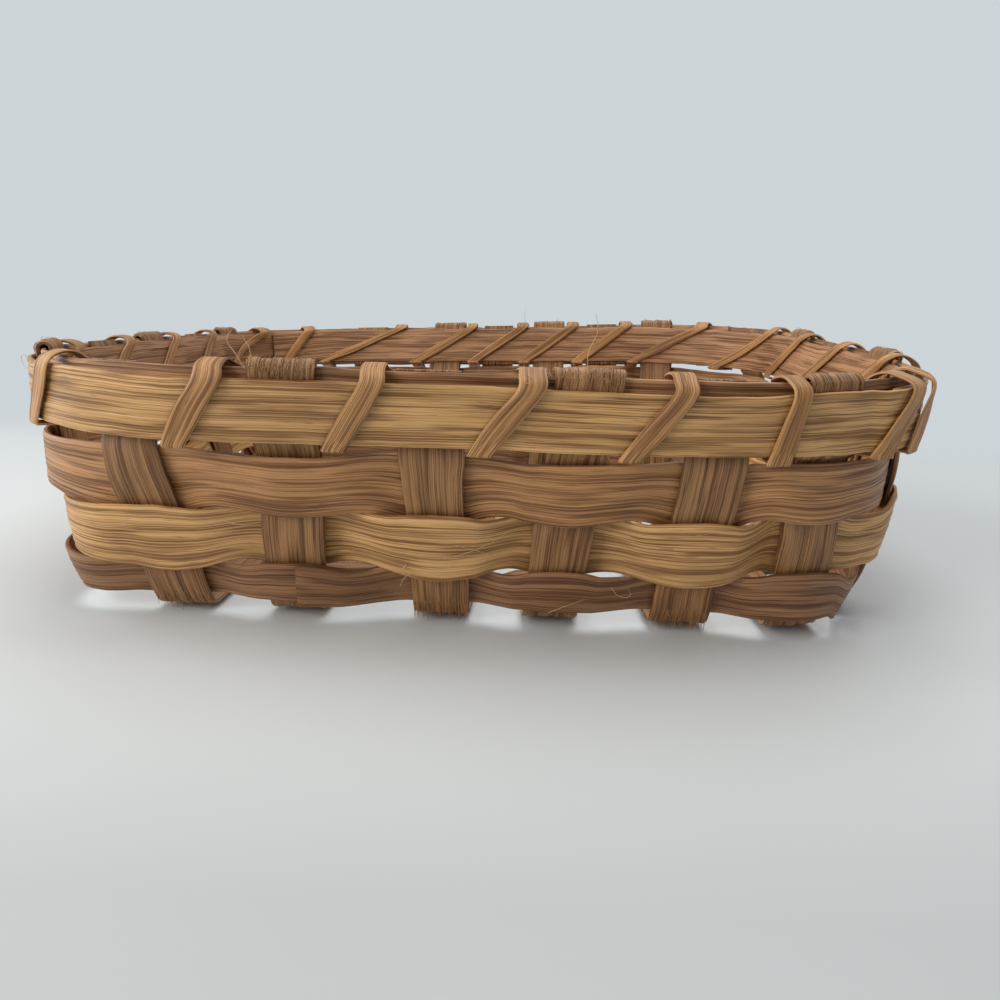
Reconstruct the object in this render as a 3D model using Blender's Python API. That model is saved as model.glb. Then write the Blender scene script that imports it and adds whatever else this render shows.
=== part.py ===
"""Berry basket plaited from flat wooden splints, with a lashed double hoop round the rim.

Metres, +Z up. The origin is the middle of the underside. The front is -Y and the right is +X.
Long splints run front to back and cross splints run left to right. They are plaited together in
the base, and their ends stand up as the stakes of the walls. Three rows of weaver and a rim row
go round the stakes. Two hoops clasp the rim row, and one narrow strip lashes them down.
"""

import math

import bmesh
import bpy
from mathutils import Vector

# Overall size, over the outer hoop.
RIM_LENGTH = 0.230
RIM_WIDTH = 0.204
FLARE = math.radians(17.0)
END_BOW = 0.0028
BOW_PEAK = 4 / 27
FRONT_RIGHT_RADIUS = 0.064
BACK_RIGHT_RADIUS = 0.058
BACK_LEFT_RADIUS = 0.042
FRONT_LEFT_RADIUS = 0.058
RIGHT_BASE_RADIUS = 0.022
LEFT_BASE_RADIUS = 0.009
CORNER_OPENING_POWER = 1.2
BACK_RIGHT_RISE = 0.0102

# Splints of the base and walls.
SPLINT_WIDTH = 0.0135
SPLINT_THICKNESS = 0.0011
EDGE_RADIUS = 0.003
SWELL = 0.0004

# Rows of weaver, and the rim.
ROW_WIDTH = 0.0138
BOTTOM_ROW_WIDTH = 0.0096
ROW_GAP = 0.0008
RIM_GAP = 0.0043
LOW_EDGE_WAVES = (0.0, 0.0, 0.0012, -0.0004)
HIGH_EDGE_WAVES = (0.0, 0.0, 0.0002, 0.0)
LOW_EDGE_SPREADS = (0.0, 0.0008, 0.0008, 0.0)
HIGH_EDGE_SPREADS = (0.0, 0.0, 0.0010, 0.0010)
CORNER_SAGS = (0.0, 0.0003, 0.0011, 0.0022)
ROW_LIFT = 0.0026
HOOP_HEIGHT = 0.0136
HOOP_THICKNESS = 0.0012
RIM_ROW_STAND = 0.0015
LASH_WIDTH = 0.0050
LASH_THICKNESS = 0.0007
LASH_CLEARANCE = 0.0005

# Room left between neighbours, and past the edge of a splint that a row passes.
CLEARANCE = 0.00035
SIDE_CLEARANCE = 0.0006

# Where the splints stand, as shares of half the rim or half the base, left to right and front
# to back.
FRONT_RIM_SHARES = (-0.675, -0.335, -0.075, 0.213, 0.475, 0.67)
FRONT_BASE_SHARES = (-0.725, -0.435, -0.07, 0.205, 0.525, 0.82)
BACK_RIM_SHARES = (-0.51, -0.20, 0.0, 0.20, 0.41, 0.63)
BACK_BASE_SHARES = (-0.66, -0.30, -0.01, 0.24, 0.50, 0.76)
LEFT_RIM_SHARES = (-0.62, -0.32, -0.01, 0.31, 0.63)
LEFT_BASE_SHARES = (-0.73, -0.37, -0.01, 0.36, 0.74)
RIGHT_RIM_SHARES = (-0.65, -0.33, 0.01, 0.33, 0.64)
RIGHT_BASE_SHARES = (-0.74, -0.38, 0.01, 0.38, 0.74)

# Worked out from the sizes above.
STEP = SPLINT_THICKNESS + CLEARANCE
HALF = SPLINT_THICKNESS / 2
FLAT = SPLINT_WIDTH / 2 + SIDE_CLEARANCE
UPRIGHT = math.cos(FLARE)
BASE_LEVEL = STEP + HALF
BOTTOM_ROW_Z = BASE_LEVEL + EDGE_RADIUS * UPRIGHT
MIDDLE_ROW_Z = BOTTOM_ROW_Z + (BOTTOM_ROW_WIDTH + ROW_GAP) * UPRIGHT
TOP_ROW_Z = MIDDLE_ROW_Z + (ROW_WIDTH + ROW_GAP) * UPRIGHT
TOP_ROW_END_Z = TOP_ROW_Z + ROW_WIDTH * UPRIGHT
HOOP_Z = TOP_ROW_END_Z + RIM_GAP * UPRIGHT
HOOP_END_Z = HOOP_Z + HOOP_HEIGHT * UPRIGHT
RIM_ROW_END_Z = HOOP_END_Z + RIM_ROW_STAND * UPRIGHT
WALL_HEIGHT = HOOP_END_Z - BASE_LEVEL
INSET = WALL_HEIGHT * math.tan(FLARE)
HOOP_PLACE = STEP + HALF + CLEARANCE + HOOP_THICKNESS / 2
HOOP_FACE = HOOP_PLACE + HOOP_THICKNESS / 2
HOOP_LAP = HOOP_THICKNESS + CLEARANCE
RIM_HALF = (
    RIM_LENGTH / 2 - HOOP_FACE * UPRIGHT,
    RIM_WIDTH / 2 - HOOP_FACE * UPRIGHT,
)
BASE_HALF = (RIM_HALF[0] - INSET, RIM_HALF[1] - INSET)
SLOPE_STEP = 0.001
CORNER_RADII = (
    (RIGHT_BASE_RADIUS, FRONT_RIGHT_RADIUS),
    (RIGHT_BASE_RADIUS, BACK_RIGHT_RADIUS),
    (LEFT_BASE_RADIUS, BACK_LEFT_RADIUS),
    (LEFT_BASE_RADIUS, FRONT_LEFT_RADIUS),
)

# Each row, from the rim down: its lower edge, its upper edge, and the stake where its lap starts.
RIM_ROW, TOP_ROW, MIDDLE_ROW, BOTTOM_ROW = range(4)
ROW_EDGES = (
    (HOOP_Z, RIM_ROW_END_Z),
    (TOP_ROW_Z, TOP_ROW_END_Z),
    (MIDDLE_ROW_Z, TOP_ROW_Z - ROW_GAP * UPRIGHT),
    (BOTTOM_ROW_Z, MIDDLE_ROW_Z - ROW_GAP * UPRIGHT),
)
LAP_STARTS = (10, 12, 7, 1)
OUTER_HOOP_LAP, INNER_HOOP_LAP = 5, 16
LASH_PLACES = {5: (0.3, 0.7), 16: (0.3, 0.7), 21: (0.62,)}

# A stake covers this share of the way to each neighbour. The rows lift at the front right and
# along the back, by these shares at the stakes there, and they sag round the right corners.
STAKE_SHARE = 0.22
ROW_LIFT_SHARES = {
    4: 0.15, 5: 0.8, 6: 1.0, 7: 0.4, 11: 0.5, 12: 0.8, 13: 0.9, 14: 0.9, 15: 0.9, 16: 0.7, 17: 0.3
}
SAGGING_GAPS = (5, 10)

FRONT, RIGHT, BACK, LEFT = range(4)
TANGENTS = (Vector((1, 0)), Vector((0, 1)), Vector((-1, 0)), Vector((0, -1)))
OUTWARDS = (Vector((0, -1)), Vector((1, 0)), Vector((0, 1)), Vector((-1, 0)))


def smooth(share):
    """An S-shaped step from 0 to 1."""
    share = min(max(share, 0.0), 1.0)
    return share * share * (3 - 2 * share)


def height_share(z):
    return (z - BASE_LEVEL) / WALL_HEIGHT


def corner_radius(corner, share):
    """A corner opens out from the base to the rim, a little slower at first."""
    base, rim = CORNER_RADII[corner]
    return base + (rim - base) * max(share, 0.0) ** CORNER_OPENING_POWER


def half_sizes(share):
    """Half the length and half the width. The end walls bow out, most at a third of their height.

    The bow's curve, share * (1 - share) ** 2, peaks there at BOW_PEAK.
    """
    bow = END_BOW * share * (1 - share) ** 2 / BOW_PEAK
    return BASE_HALF[0] + INSET * share + bow, BASE_HALF[1] + INSET * share


def side_sizes(side, share):
    """Half the side's length, its distance from the middle, and its corner radii, at a height share."""
    length, distance = half_sizes(share) if side in (FRONT, BACK) else half_sizes(share)[::-1]
    return length, distance, corner_radius((side - 1) % 4, share), corner_radius(side, share)


def side_middles(share):
    """Distance round the outline from the front's middle to each side's middle, and the whole way round."""
    middles = [0.0]
    for side in range(4):
        length, _, _, radius = side_sizes(side, share)
        next_length = side_sizes((side + 1) % 4, share)[0]
        middles.append(
            middles[-1] + length + next_length - 2 * radius + radius * math.pi / 2
        )
    return middles


def outline_point(arc, share):
    """Point, outward direction and flare at a distance round the outline from the front's middle."""
    middles = side_middles(share)
    arc = arc % middles[4]
    for side in range(5):
        length, distance, before, after = side_sizes(side % 4, share)
        along = arc - middles[side]
        if along <= length - after + after * math.pi / 4:
            break
    tangent, outward = TANGENTS[side % 4], OUTWARDS[side % 4]
    higher = side_sizes(side % 4, share + SLOPE_STEP)
    sign, radius, higher_radius = (1, after, higher[3]) if along > 0 else (-1, before, higher[2])
    turn = max(abs(along) - (length - radius), 0) / radius
    reach = min(abs(along), length - radius) + radius * math.sin(turn)
    point = tangent * (sign * reach) + outward * (distance - radius + radius * math.cos(turn))
    normal = tangent * (sign * math.sin(turn)) + outward * math.cos(turn)
    opening = higher_radius - radius
    spread = math.sin(turn) * (higher[0] - length - opening)
    spread += math.cos(turn) * (higher[1] - distance - opening) + opening
    return point, normal, math.atan(spread / SLOPE_STEP / WALL_HEIGHT)


def warped(point):
    """The finished basket stands a little higher at its back right corner."""
    rise = (point.x / RIM_LENGTH + 0.5) * (point.y / RIM_WIDTH + 0.5)
    return Vector((point.x, point.y, point.z * (1 + rise * BACK_RIGHT_RISE / HOOP_END_Z)))


def wall_point(arc, z, offset):
    """A point of the wall, offset outwards from the middle of the stakes."""
    point, normal, flare = outline_point(arc, height_share(z))
    out = point + normal * (offset * math.cos(flare))
    return warped(Vector((out.x, out.y, z - offset * math.sin(flare))))


def stake_ends():
    """The stakes in order round the wall: side, splint number, and place at the rim and the base."""
    ends = []
    for side, rim_shares, base_shares in (
        (FRONT, FRONT_RIM_SHARES, FRONT_BASE_SHARES),
        (RIGHT, RIGHT_RIM_SHARES, RIGHT_BASE_SHARES),
        (BACK, BACK_RIM_SHARES, BACK_BASE_SHARES),
        (LEFT, LEFT_RIM_SHARES, LEFT_BASE_SHARES),
    ):
        axis = 0 if side in (FRONT, BACK) else 1
        sign = 1 if side in (FRONT, RIGHT) else -1
        places = [
            (side, number, sign * rim * RIM_HALF[axis], sign * base * BASE_HALF[axis])
            for number, (rim, base) in enumerate(zip(rim_shares, base_shares))
        ]
        ends += places[::sign]
    return ends


STAKES = stake_ends()
COUNT = len(STAKES)
CORNER_GAPS = [
    index for index in range(COUNT) if STAKES[index][0] != STAKES[(index + 1) % COUNT][0]
]


def stake_arc(index, z):
    """Distance round the outline to a stake, counted on past the first one for a second lap."""
    laps, index = divmod(index, COUNT)
    side, _, rim, base = STAKES[index]
    share = height_share(z)
    middles = side_middles(share)
    return middles[side] + base + (rim - base) * share + laps * middles[4]


def is_outside(index, row):
    """Whether a stake passes outside a row."""
    return (index + row) % 2 == 1


def ring_point(index, share, z, offset):
    """A point of a row. A share of 0 to 1 leads from one stake to the next, and -1 to 0 across a stake."""
    here = stake_arc(index, z)
    if share >= 0:
        gap = stake_arc(index + 1, z) - here - 2 * FLAT
        return wall_point(here + FLAT + gap * share, z, offset)
    start = wall_point(here - FLAT, z, offset)
    end = wall_point(here + FLAT, z, offset)
    return start.lerp(end, 1 + share)


def gap_shares(index):
    """The stations of a row between one stake and the next."""
    steps = 8 if index % COUNT in CORNER_GAPS else 4
    return [step / steps for step in range(steps + 1)]


def make_material(name, color, roughness):
    material = bpy.data.materials.new(name)
    material.use_nodes = True
    shader = material.node_tree.nodes["Principled BSDF"]
    shader.inputs["Base Color"].default_value = (*color, 1.0)
    shader.inputs["Roughness"].default_value = roughness
    shader.inputs["Metallic"].default_value = 0.0
    return material


def slant(start, end):
    """Less than zero for a line that falls as it goes round the basket. Faces are split along such lines."""
    return (start.x * end.y - start.y * end.x) * (end.z - start.z)


def sweep(name, sections, material):
    """One closed splint from its sections, in order along it."""
    mesh = bmesh.new()
    rings = [[mesh.verts.new(corner) for corner in section] for section in sections]
    for ring, following in zip(rings, rings[1:]):
        for side in range(len(ring)):
            near, far = side, (side + 1) % len(ring)
            corners = (ring[near], ring[far], following[far], following[near])
            slants = slant(ring[near].co, following[far].co), slant(ring[far].co, following[near].co)
            if slants[0] < slants[1]:
                corners = (corners[3], *corners[:3])
            mesh.faces.new((corners[0], corners[1], corners[3]))
            mesh.faces.new((corners[1], corners[2], corners[3]))
    mesh.faces.new(rings[0][::-1])
    mesh.faces.new(rings[-1])
    bmesh.ops.recalc_face_normals(mesh, faces=mesh.faces)
    data = bpy.data.meshes.new(name)
    mesh.to_mesh(data)
    mesh.free()
    data.materials.append(material)
    data.shade_smooth()
    data.set_sharp_from_angle(angle=math.radians(40))
    splint = bpy.data.objects.new(name, data)
    bpy.context.collection.objects.link(splint)
    return splint


def row_offset(row, index, layer):
    """How far a row lies from the stakes' middle as it passes one. Layer -1 and 1 are the two laps."""
    if is_outside(index, row):
        tail = 1 if row == MIDDLE_ROW else 0
        return -STEP * (1 + tail + (layer < 0))
    return STEP * (1 + (layer > 0))


def lifted_edges(row, index):
    """Edges of a row at a stake. Where the rows lift, the bottom row grows wider instead."""
    low, high = ROW_EDGES[row]
    lift = ROW_LIFT * ROW_LIFT_SHARES.get(index % COUNT, 0.0)
    return low if row == BOTTOM_ROW else low + lift, high + lift


def row_edges(row, index, share=None):
    """Edges of a row at a stake, or at a share of the way from the stake's far edge to the next one.

    A row's edges wave, low where it passes outside a stake. They spread over its neighbours as it
    passes any stake, and sag in some corners.
    """
    low, high = lifted_edges(row, index)
    place, sag = index, 0.0
    if share is not None:
        place += STAKE_SHARE + (1 - 2 * STAKE_SHARE) * share
        next_low, next_high = lifted_edges(row, index + 1)
        low += (next_low - low) * smooth(share)
        high += (next_high - high) * smooth(share)
        if index % COUNT in SAGGING_GAPS:
            sag = CORNER_SAGS[row] * smooth(share * 3) * smooth(3 - share * 3)
    wave = math.cos(math.pi * (place + row))
    low -= LOW_EDGE_WAVES[row] * wave + LOW_EDGE_SPREADS[row] * wave**2 + sag
    high += HIGH_EDGE_SPREADS[row] * wave**2 - HIGH_EDGE_WAVES[row] * wave - sag
    return low, high


def weaver_row(name, row, material):
    """A row of weaver. It starts and ends on its lap, where two layers pass two stakes."""
    start = LAP_STARTS[row]

    def offset_at(index):
        layer = 1 if index <= start + 1 else -1 if index >= start + COUNT else 0
        return row_offset(row, index, layer)

    stations = [(start, -0.45, offset_at(start), row_edges(row, start))]
    for index in range(start, start + COUNT + 1):
        here, there = offset_at(index), offset_at(index + 1)
        for share in gap_shares(index):
            offset = here + (there - here) * smooth(share)
            stations.append((index, share, offset, row_edges(row, index, share)))
    last = start + COUNT + 1
    stations.append((last, -0.35, offset_at(last), row_edges(row, last)))
    return ring(name, stations, SPLINT_THICKNESS, material)


def lapped_ring(name, start, place, under, over, edges, thickness, material):
    """A hoop or the rim row. Its ends lap in the gap after the starting stake."""
    lap_start, lap_end = 0.3, 0.7
    stations = []
    for index in range(start, start + COUNT + 1):
        for share in gap_shares(index):
            offset = place
            if index == start:
                if share < lap_start:
                    continue
                offset += under * (1 - smooth((share - lap_end) / (1 - lap_end)))
            if index == start + COUNT:
                if share > lap_end:
                    continue
                offset += over * smooth(share / (lap_start - 0.1))
            stations.append((index, share, offset, edges))
    return ring(name, stations, thickness, material)


def ring(name, stations, thickness, material):
    sections = []
    for index, share, offset, (low, high) in stations:
        heights = (low, (low + high) / 2, high)
        inner = [ring_point(index, share, z, offset - thickness / 2) for z in heights]
        outer = [ring_point(index, share, z, offset + thickness / 2) for z in heights[::-1]]
        sections.append(inner + outer)
    return sweep(name, sections, material)


def stake_profile(index):
    """Height and offset of a stake from the base edge to the top of its rim row."""
    rim_offset = STEP if is_outside(index, RIM_ROW) else -STEP
    profile = []
    for row in (BOTTOM_ROW, MIDDLE_ROW, TOP_ROW):
        low, high = lifted_edges(row, index)
        swell = SWELL if is_outside(index, row) else -SWELL
        profile += [(low, 0.0), ((low + high) / 2, swell), (high, 0.0)]
    gap = HOOP_Z - high
    profile += [(high + gap * share, rim_offset * smooth(share)) for share in (0.35, 0.65)]
    rim_heights = (HOOP_Z, (HOOP_Z + RIM_ROW_END_Z) / 2, RIM_ROW_END_Z)
    return profile + [(z, rim_offset) for z in rim_heights]


def stake_fold(index):
    """A stake that ends outside the rim row turns over it, and its tail tucks down inside."""
    turn = [
        (RIM_ROW_END_Z + STEP * UPRIGHT * math.sin(angle), STEP * math.cos(angle), angle)
        for angle in (math.pi / 4, math.pi / 2, math.pi * 3 / 4)
    ]
    top_row_end = lifted_edges(TOP_ROW, index)[1]
    tail_heights = (RIM_ROW_END_Z, (HOOP_Z + RIM_ROW_END_Z) / 2, HOOP_Z, top_row_end)
    tail = [(z, -STEP, math.pi) for z in tail_heights]
    for row, swell in ((TOP_ROW, -SWELL), (MIDDLE_ROW, SWELL)):
        low, high = lifted_edges(row, index)
        tail.append(((low + high) / 2, -STEP + swell, math.pi))
        tail.append((low if row == TOP_ROW else low + EDGE_RADIUS, -STEP, math.pi))
    return turn + tail


def stake_section(index, z, offset, angle, flip):
    """The four corners of a stake at a height. The angle is how far it has turned over the rim row."""
    arc = stake_arc(index, z)
    corners = []
    for side, face in ((-1, -1), (1, -1), (1, 1), (-1, 1)):
        lift = face * HALF * math.sin(angle) * UPRIGHT
        push = face * HALF * math.cos(angle)
        corners.append(
            wall_point(arc + side * flip * SPLINT_WIDTH / 2, z + lift, offset + push)
        )
    return corners


def wall_sections(index, flip):
    """The sections of a stake from its end down to the base edge."""
    sections = [
        stake_section(index, z, offset, 0.0, flip) for z, offset in stake_profile(index)
    ]
    if is_outside(index, RIM_ROW):
        sections += [
            stake_section(index, z, offset, angle, flip) for z, offset, angle in stake_fold(index)
        ]
    return sections[::-1]


def base_point(place, across, level, along_x):
    x, y = (place, across) if along_x else (across, place)
    return warped(Vector((x, y, level)))


def edge_turn(index, flip, inward):
    """The sections where a stake bends from the wall into the base."""
    wall = stake_section(index, BOTTOM_ROW_Z, 0.0, 0.0, flip)
    corner = stake_section(index, BASE_LEVEL, 0.0, 0.0, flip)
    _, normal, flare = outline_point(stake_arc(index, BASE_LEVEL), 0.0)
    side_normal = Vector((normal.x * math.cos(flare), normal.y * math.cos(flare), -math.sin(flare)))
    down = Vector((0, 0, -1))
    mitre = (side_normal + down) / (1 + side_normal.dot(down))
    sections = []
    for share in (0.25, 0.5, 0.75, 1.0):
        section = []
        for near, bend, face in zip(wall, corner, (-1, -1, 1, 1)):
            middle = bend - side_normal * (face * HALF)
            control = middle + mitre * (face * HALF)
            far = middle + inward * EDGE_RADIUS + down * (face * HALF)
            section.append(
                near * (1 - share) ** 2 + control * (2 * share * (1 - share)) + far * share**2
            )
        sections.append(section)
    return sections


def find_stake(side, number):
    return next(i for i, stake in enumerate(STAKES) if stake[0] == side and stake[1] == number)


def long_splint(number, material):
    """A splint that runs front to back. It lies level in the base."""
    front, back = find_stake(FRONT, number), find_stake(BACK, number)
    sections = wall_sections(front, 1) + edge_turn(front, 1, Vector((0, 1, 0)))
    sections += (wall_sections(back, -1) + edge_turn(back, -1, Vector((0, -1, 0))))[::-1]
    return sweep(f"long_splint_{number + 1}", sections, material)


def long_splint_place(number, y):
    """Where a long splint's middle lies in the base, at a distance from front to back."""
    share = (y / BASE_HALF[1] + 1) / 2
    front = FRONT_BASE_SHARES[number] * BASE_HALF[0]
    back = BACK_BASE_SHARES[number] * BASE_HALF[0]
    return front + (back - front) * share


def cross_splint_place(number, x):
    share = (x / BASE_HALF[0] + 1) / 2
    left = LEFT_BASE_SHARES[number] * BASE_HALF[1]
    right = RIGHT_BASE_SHARES[number] * BASE_HALF[1]
    return left + (right - left) * share


def cross_splint_level(number, crossing):
    """A cross splint passes over a long splint where their numbers add up to an odd number."""
    if crossing in (-1, len(FRONT_BASE_SHARES)):
        return BASE_LEVEL
    return BASE_LEVEL + (STEP if (number + crossing) % 2 else -STEP)


def cross_splint_base(number):
    """The sections of a cross splint in the base, over and under the long splints."""
    last = len(FRONT_BASE_SHARES)
    edge = BASE_HALF[0] - EDGE_RADIUS
    sections = []
    for crossing in range(-1, last):
        here = cross_splint_level(number, crossing)
        there = cross_splint_level(number, crossing + 1)
        for share in (0.0, 0.25, 0.5, 0.75, 1.0):
            if (crossing, share) in ((-1, 0.0), (last - 1, 1.0)):
                continue
            level = here + (there - here) * smooth(share)
            section = []
            for side, face in ((-1, -1), (1, -1), (1, 1), (-1, 1)):
                middle = cross_splint_place(number, 0.0)
                y = middle + side * SPLINT_WIDTH / 2
                start = long_splint_place(crossing, y) + FLAT if crossing >= 0 else -edge
                end = long_splint_place(crossing + 1, y) - FLAT if crossing + 1 < last else edge
                x = start + (end - start) * share
                across = cross_splint_place(number, x) + side * SPLINT_WIDTH / 2
                section.append(base_point(x, across, level - face * HALF, True))
            sections.append(section)
    return sections


def cross_splint(number, material):
    """A splint that runs left to right. It weaves through the long splints in the base."""
    left, right = find_stake(LEFT, number), find_stake(RIGHT, number)
    sections = wall_sections(left, -1) + edge_turn(left, -1, Vector((1, 0, 0)))
    sections += cross_splint_base(number)
    sections += (wall_sections(right, 1) + edge_turn(right, 1, Vector((-1, 0, 0))))[::-1]
    return sweep(f"cross_splint_{number + 1}", sections, material)


def ring_place(arc, z):
    """The stake and share that ring_point takes, for a distance round the outline."""
    index = 0
    while stake_arc(index + 1, z) - FLAT <= arc:
        index += 1
    here = stake_arc(index, z)
    if arc < here + FLAT:
        return index, (arc - here - FLAT) / (2 * FLAT)
    gap = stake_arc(index + 1, z) - here - 2 * FLAT
    return index, (arc - here - FLAT) / gap


def lap_swell(index, share, lap_gap):
    """How much of a hoop's lap lies under the lashing at a place in the gap."""
    if index % COUNT != lap_gap or share < 0:
        return 0.0
    return smooth(share / 0.2) * (1 - smooth((share - 0.8) / 0.2))


def lash_turns():
    """Each turn's place under the hoops and over them, as distances round the rim."""
    turns = []
    half_band = LASH_WIDTH * 0.62
    for index in range(1, COUNT + 1):
        start = stake_arc(index, HOOP_Z) + FLAT
        gap = stake_arc(index + 1, HOOP_Z) - FLAT - start
        for middle in LASH_PLACES.get(index % COUNT, (0.5,)):
            room = gap * min(middle, 1 - middle) - half_band
            lean = min(max(room, 0.0), LASH_WIDTH) * 0.92
            turns.append((start + gap * middle - lean, start + gap * middle + lean))
    return turns


def lash_loop(growth, outer_lap, inner_lap):
    """The lashing's path round the hoops, as offset and height, at a distance from them."""
    bevel = growth * 0.8
    outer = HOOP_FACE + outer_lap * HOOP_LAP + growth
    inner = -HOOP_FACE - inner_lap * HOOP_LAP - growth
    below, above = HOOP_Z - growth, HOOP_END_Z + growth * 0.4
    peak, shoulder = RIM_ROW_END_Z + growth, STEP / 2 + HALF + growth * 0.4
    climb = below + bevel
    quarter = (above - climb) / 4
    return {
        "under": [(outer - bevel, below)],
        "outside": [(outer, climb), (outer, climb + 2 * quarter), (outer, above)],
        "over": [(shoulder, peak), (-shoulder, peak)],
        "inside": [(inner, above - quarter * step) for step in range(5)],
        "back_under": [(inner + bevel, below)],
    }


def lash_stations():
    """The lashing's stations: distance round the rim, stretch of the loop and number in it."""
    turns = lash_turns()
    stations = [(turns[0][0], "inside", 4), (turns[0][0], "back_under", 0)]
    for number, (low, high) in enumerate(turns):
        if number + 1 < len(turns):
            following = turns[number + 1][0]
        else:
            following = turns[0][0] + side_middles(1.0)[4]
        stations.append((low, "under", 0))
        stations += [(low + (high - low) * step / 2, "outside", step) for step in range(3)]
        stations += [(high, "over", 0), (high, "over", 1)]
        steps = 5 if number + 1 < len(turns) else 3
        stations += [
            (high + (following - high) * step / 4, "inside", step) for step in range(steps)
        ]
        if number + 1 < len(turns):
            stations.append((following, "back_under", 0))
    return stations


def rim_lashing(material):
    """One narrow strip wound round the hoops from gap to gap."""
    stations = lash_stations()
    sections = []
    for number, (arc, stretch, step) in enumerate(stations):
        before = stations[max(number - 1, 0)][0]
        after = stations[min(number + 1, len(stations) - 1)][0]
        slant = min(abs(after - before) / HOOP_HEIGHT, 1.0)
        half_band = LASH_WIDTH / 2 * math.sqrt(1 + slant**2)
        section = []
        near, far = LASH_CLEARANCE, LASH_CLEARANCE + LASH_THICKNESS
        for side, growth in ((-1, near), (0, near), (1, near), (1, far), (0, far), (-1, far)):
            index, share = ring_place(arc + side * half_band, HOOP_Z)
            outer_lap = lap_swell(index, share, OUTER_HOOP_LAP)
            inner_lap = lap_swell(index, share, INNER_HOOP_LAP)
            offset, z = lash_loop(growth, outer_lap, inner_lap)[stretch][step]
            section.append(ring_point(index, share, z, offset))
        sections.append(section)
    return sweep("rim_lashing", sections, material)


def build():
    for old in list(bpy.data.objects):
        bpy.data.objects.remove(old)
    stake_wood = make_material("stake_splint", (0.36, 0.23, 0.11), 0.55)
    row_wood = make_material("dark_weaver", (0.33, 0.18, 0.09), 0.5)
    pale_wood = make_material("pale_weaver", (0.45, 0.29, 0.12), 0.5)
    lash_wood = make_material("lashing_strip", (0.38, 0.24, 0.11), 0.5)
    for number in range(len(FRONT_RIM_SHARES)):
        long_splint(number, stake_wood)
    for number in range(len(LEFT_RIM_SHARES)):
        cross_splint(number, stake_wood)
    weaver_row("bottom_weaver", BOTTOM_ROW, row_wood)
    weaver_row("middle_weaver", MIDDLE_ROW, pale_wood)
    weaver_row("top_weaver", TOP_ROW, row_wood)
    rim_edges, hoop_edges = ROW_EDGES[RIM_ROW], (HOOP_Z, HOOP_END_Z)
    lapped_ring(
        "rim_row", LAP_STARTS[RIM_ROW], 0.0, -STEP / 2, STEP / 2, rim_edges, SPLINT_THICKNESS, row_wood
    )
    lapped_ring(
        "outer_hoop", OUTER_HOOP_LAP, HOOP_PLACE, 0.0, HOOP_LAP, hoop_edges, HOOP_THICKNESS, pale_wood
    )
    lapped_ring(
        "inner_hoop", INNER_HOOP_LAP, -HOOP_PLACE, 0.0, -HOOP_LAP, hoop_edges, HOOP_THICKNESS, row_wood
    )
    rim_lashing(lash_wood)


build()
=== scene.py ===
"""Dresses the berry basket: every splint as a fibrous strip of wood, its loose fibres, and the stage.

Metres, +Z up, front towards -Y. Each strip follows the path of its solid, and the rows are a little
wider than theirs, so that they overlap. It starts as a flat grid, which is bent into place along the
path, ridged along its fibres and given its thickness.
"""

import math

import bmesh
import bpy
import numpy as np
from bpy.props import FloatProperty, FloatVectorProperty, IntProperty, PointerProperty
from mathutils import Matrix, Vector


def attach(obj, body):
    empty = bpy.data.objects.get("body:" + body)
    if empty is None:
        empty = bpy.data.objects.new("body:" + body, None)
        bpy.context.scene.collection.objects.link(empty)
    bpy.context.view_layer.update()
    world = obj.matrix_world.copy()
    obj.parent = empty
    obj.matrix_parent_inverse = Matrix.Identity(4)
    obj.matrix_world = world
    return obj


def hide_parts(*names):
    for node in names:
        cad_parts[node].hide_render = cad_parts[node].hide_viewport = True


bl_info = {
    "name": "Berry Basket",
    "version": (1, 0, 0),
    "blender": (4, 5, 0),
    "location": "3D View > Sidebar > Basket",
    "description": "Weaves the visible splints of a small plaited basket and sets its stage",
    "category": "Add Mesh",
}

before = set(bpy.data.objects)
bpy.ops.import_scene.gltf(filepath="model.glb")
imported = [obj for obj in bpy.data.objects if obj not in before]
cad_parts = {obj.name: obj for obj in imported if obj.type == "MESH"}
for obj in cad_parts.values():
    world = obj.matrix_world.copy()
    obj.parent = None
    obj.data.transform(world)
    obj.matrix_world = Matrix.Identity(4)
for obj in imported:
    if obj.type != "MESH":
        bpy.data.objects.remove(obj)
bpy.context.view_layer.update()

FRONT, RIGHT, BACK, LEFT = range(4)
RIM_ROW, TOP_ROW, MIDDLE_ROW, BOTTOM_ROW = range(4)
TANGENTS = (Vector((1, 0)), Vector((0, 1)), Vector((-1, 0)), Vector((0, -1)))
OUTWARDS = (Vector((0, -1)), Vector((1, 0)), Vector((0, 1)), Vector((-1, 0)))

# The greatest value of x (1 - x)^2, the share of the wall's height over which its slope is taken,
# and two numbers that keep a division from failing.
BOW_PEAK = 4 / 27
SLOPE_STEP = 0.001
TINY, LEAST = 1e-9, 1e-12

# Where the splints stand, as shares of half the rim or half the base.
FRONT_RIM_SHARES = (-0.675, -0.335, -0.075, 0.213, 0.475, 0.67)
FRONT_BASE_SHARES = (-0.725, -0.435, -0.07, 0.205, 0.525, 0.82)
BACK_RIM_SHARES = (-0.51, -0.20, 0.0, 0.20, 0.41, 0.63)
BACK_BASE_SHARES = (-0.66, -0.30, -0.01, 0.24, 0.50, 0.76)
LEFT_RIM_SHARES = (-0.62, -0.32, -0.01, 0.31, 0.63)
LEFT_BASE_SHARES = (-0.73, -0.37, -0.01, 0.36, 0.74)
RIGHT_RIM_SHARES = (-0.65, -0.33, 0.01, 0.33, 0.64)
RIGHT_BASE_SHARES = (-0.74, -0.38, 0.01, 0.38, 0.74)

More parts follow.
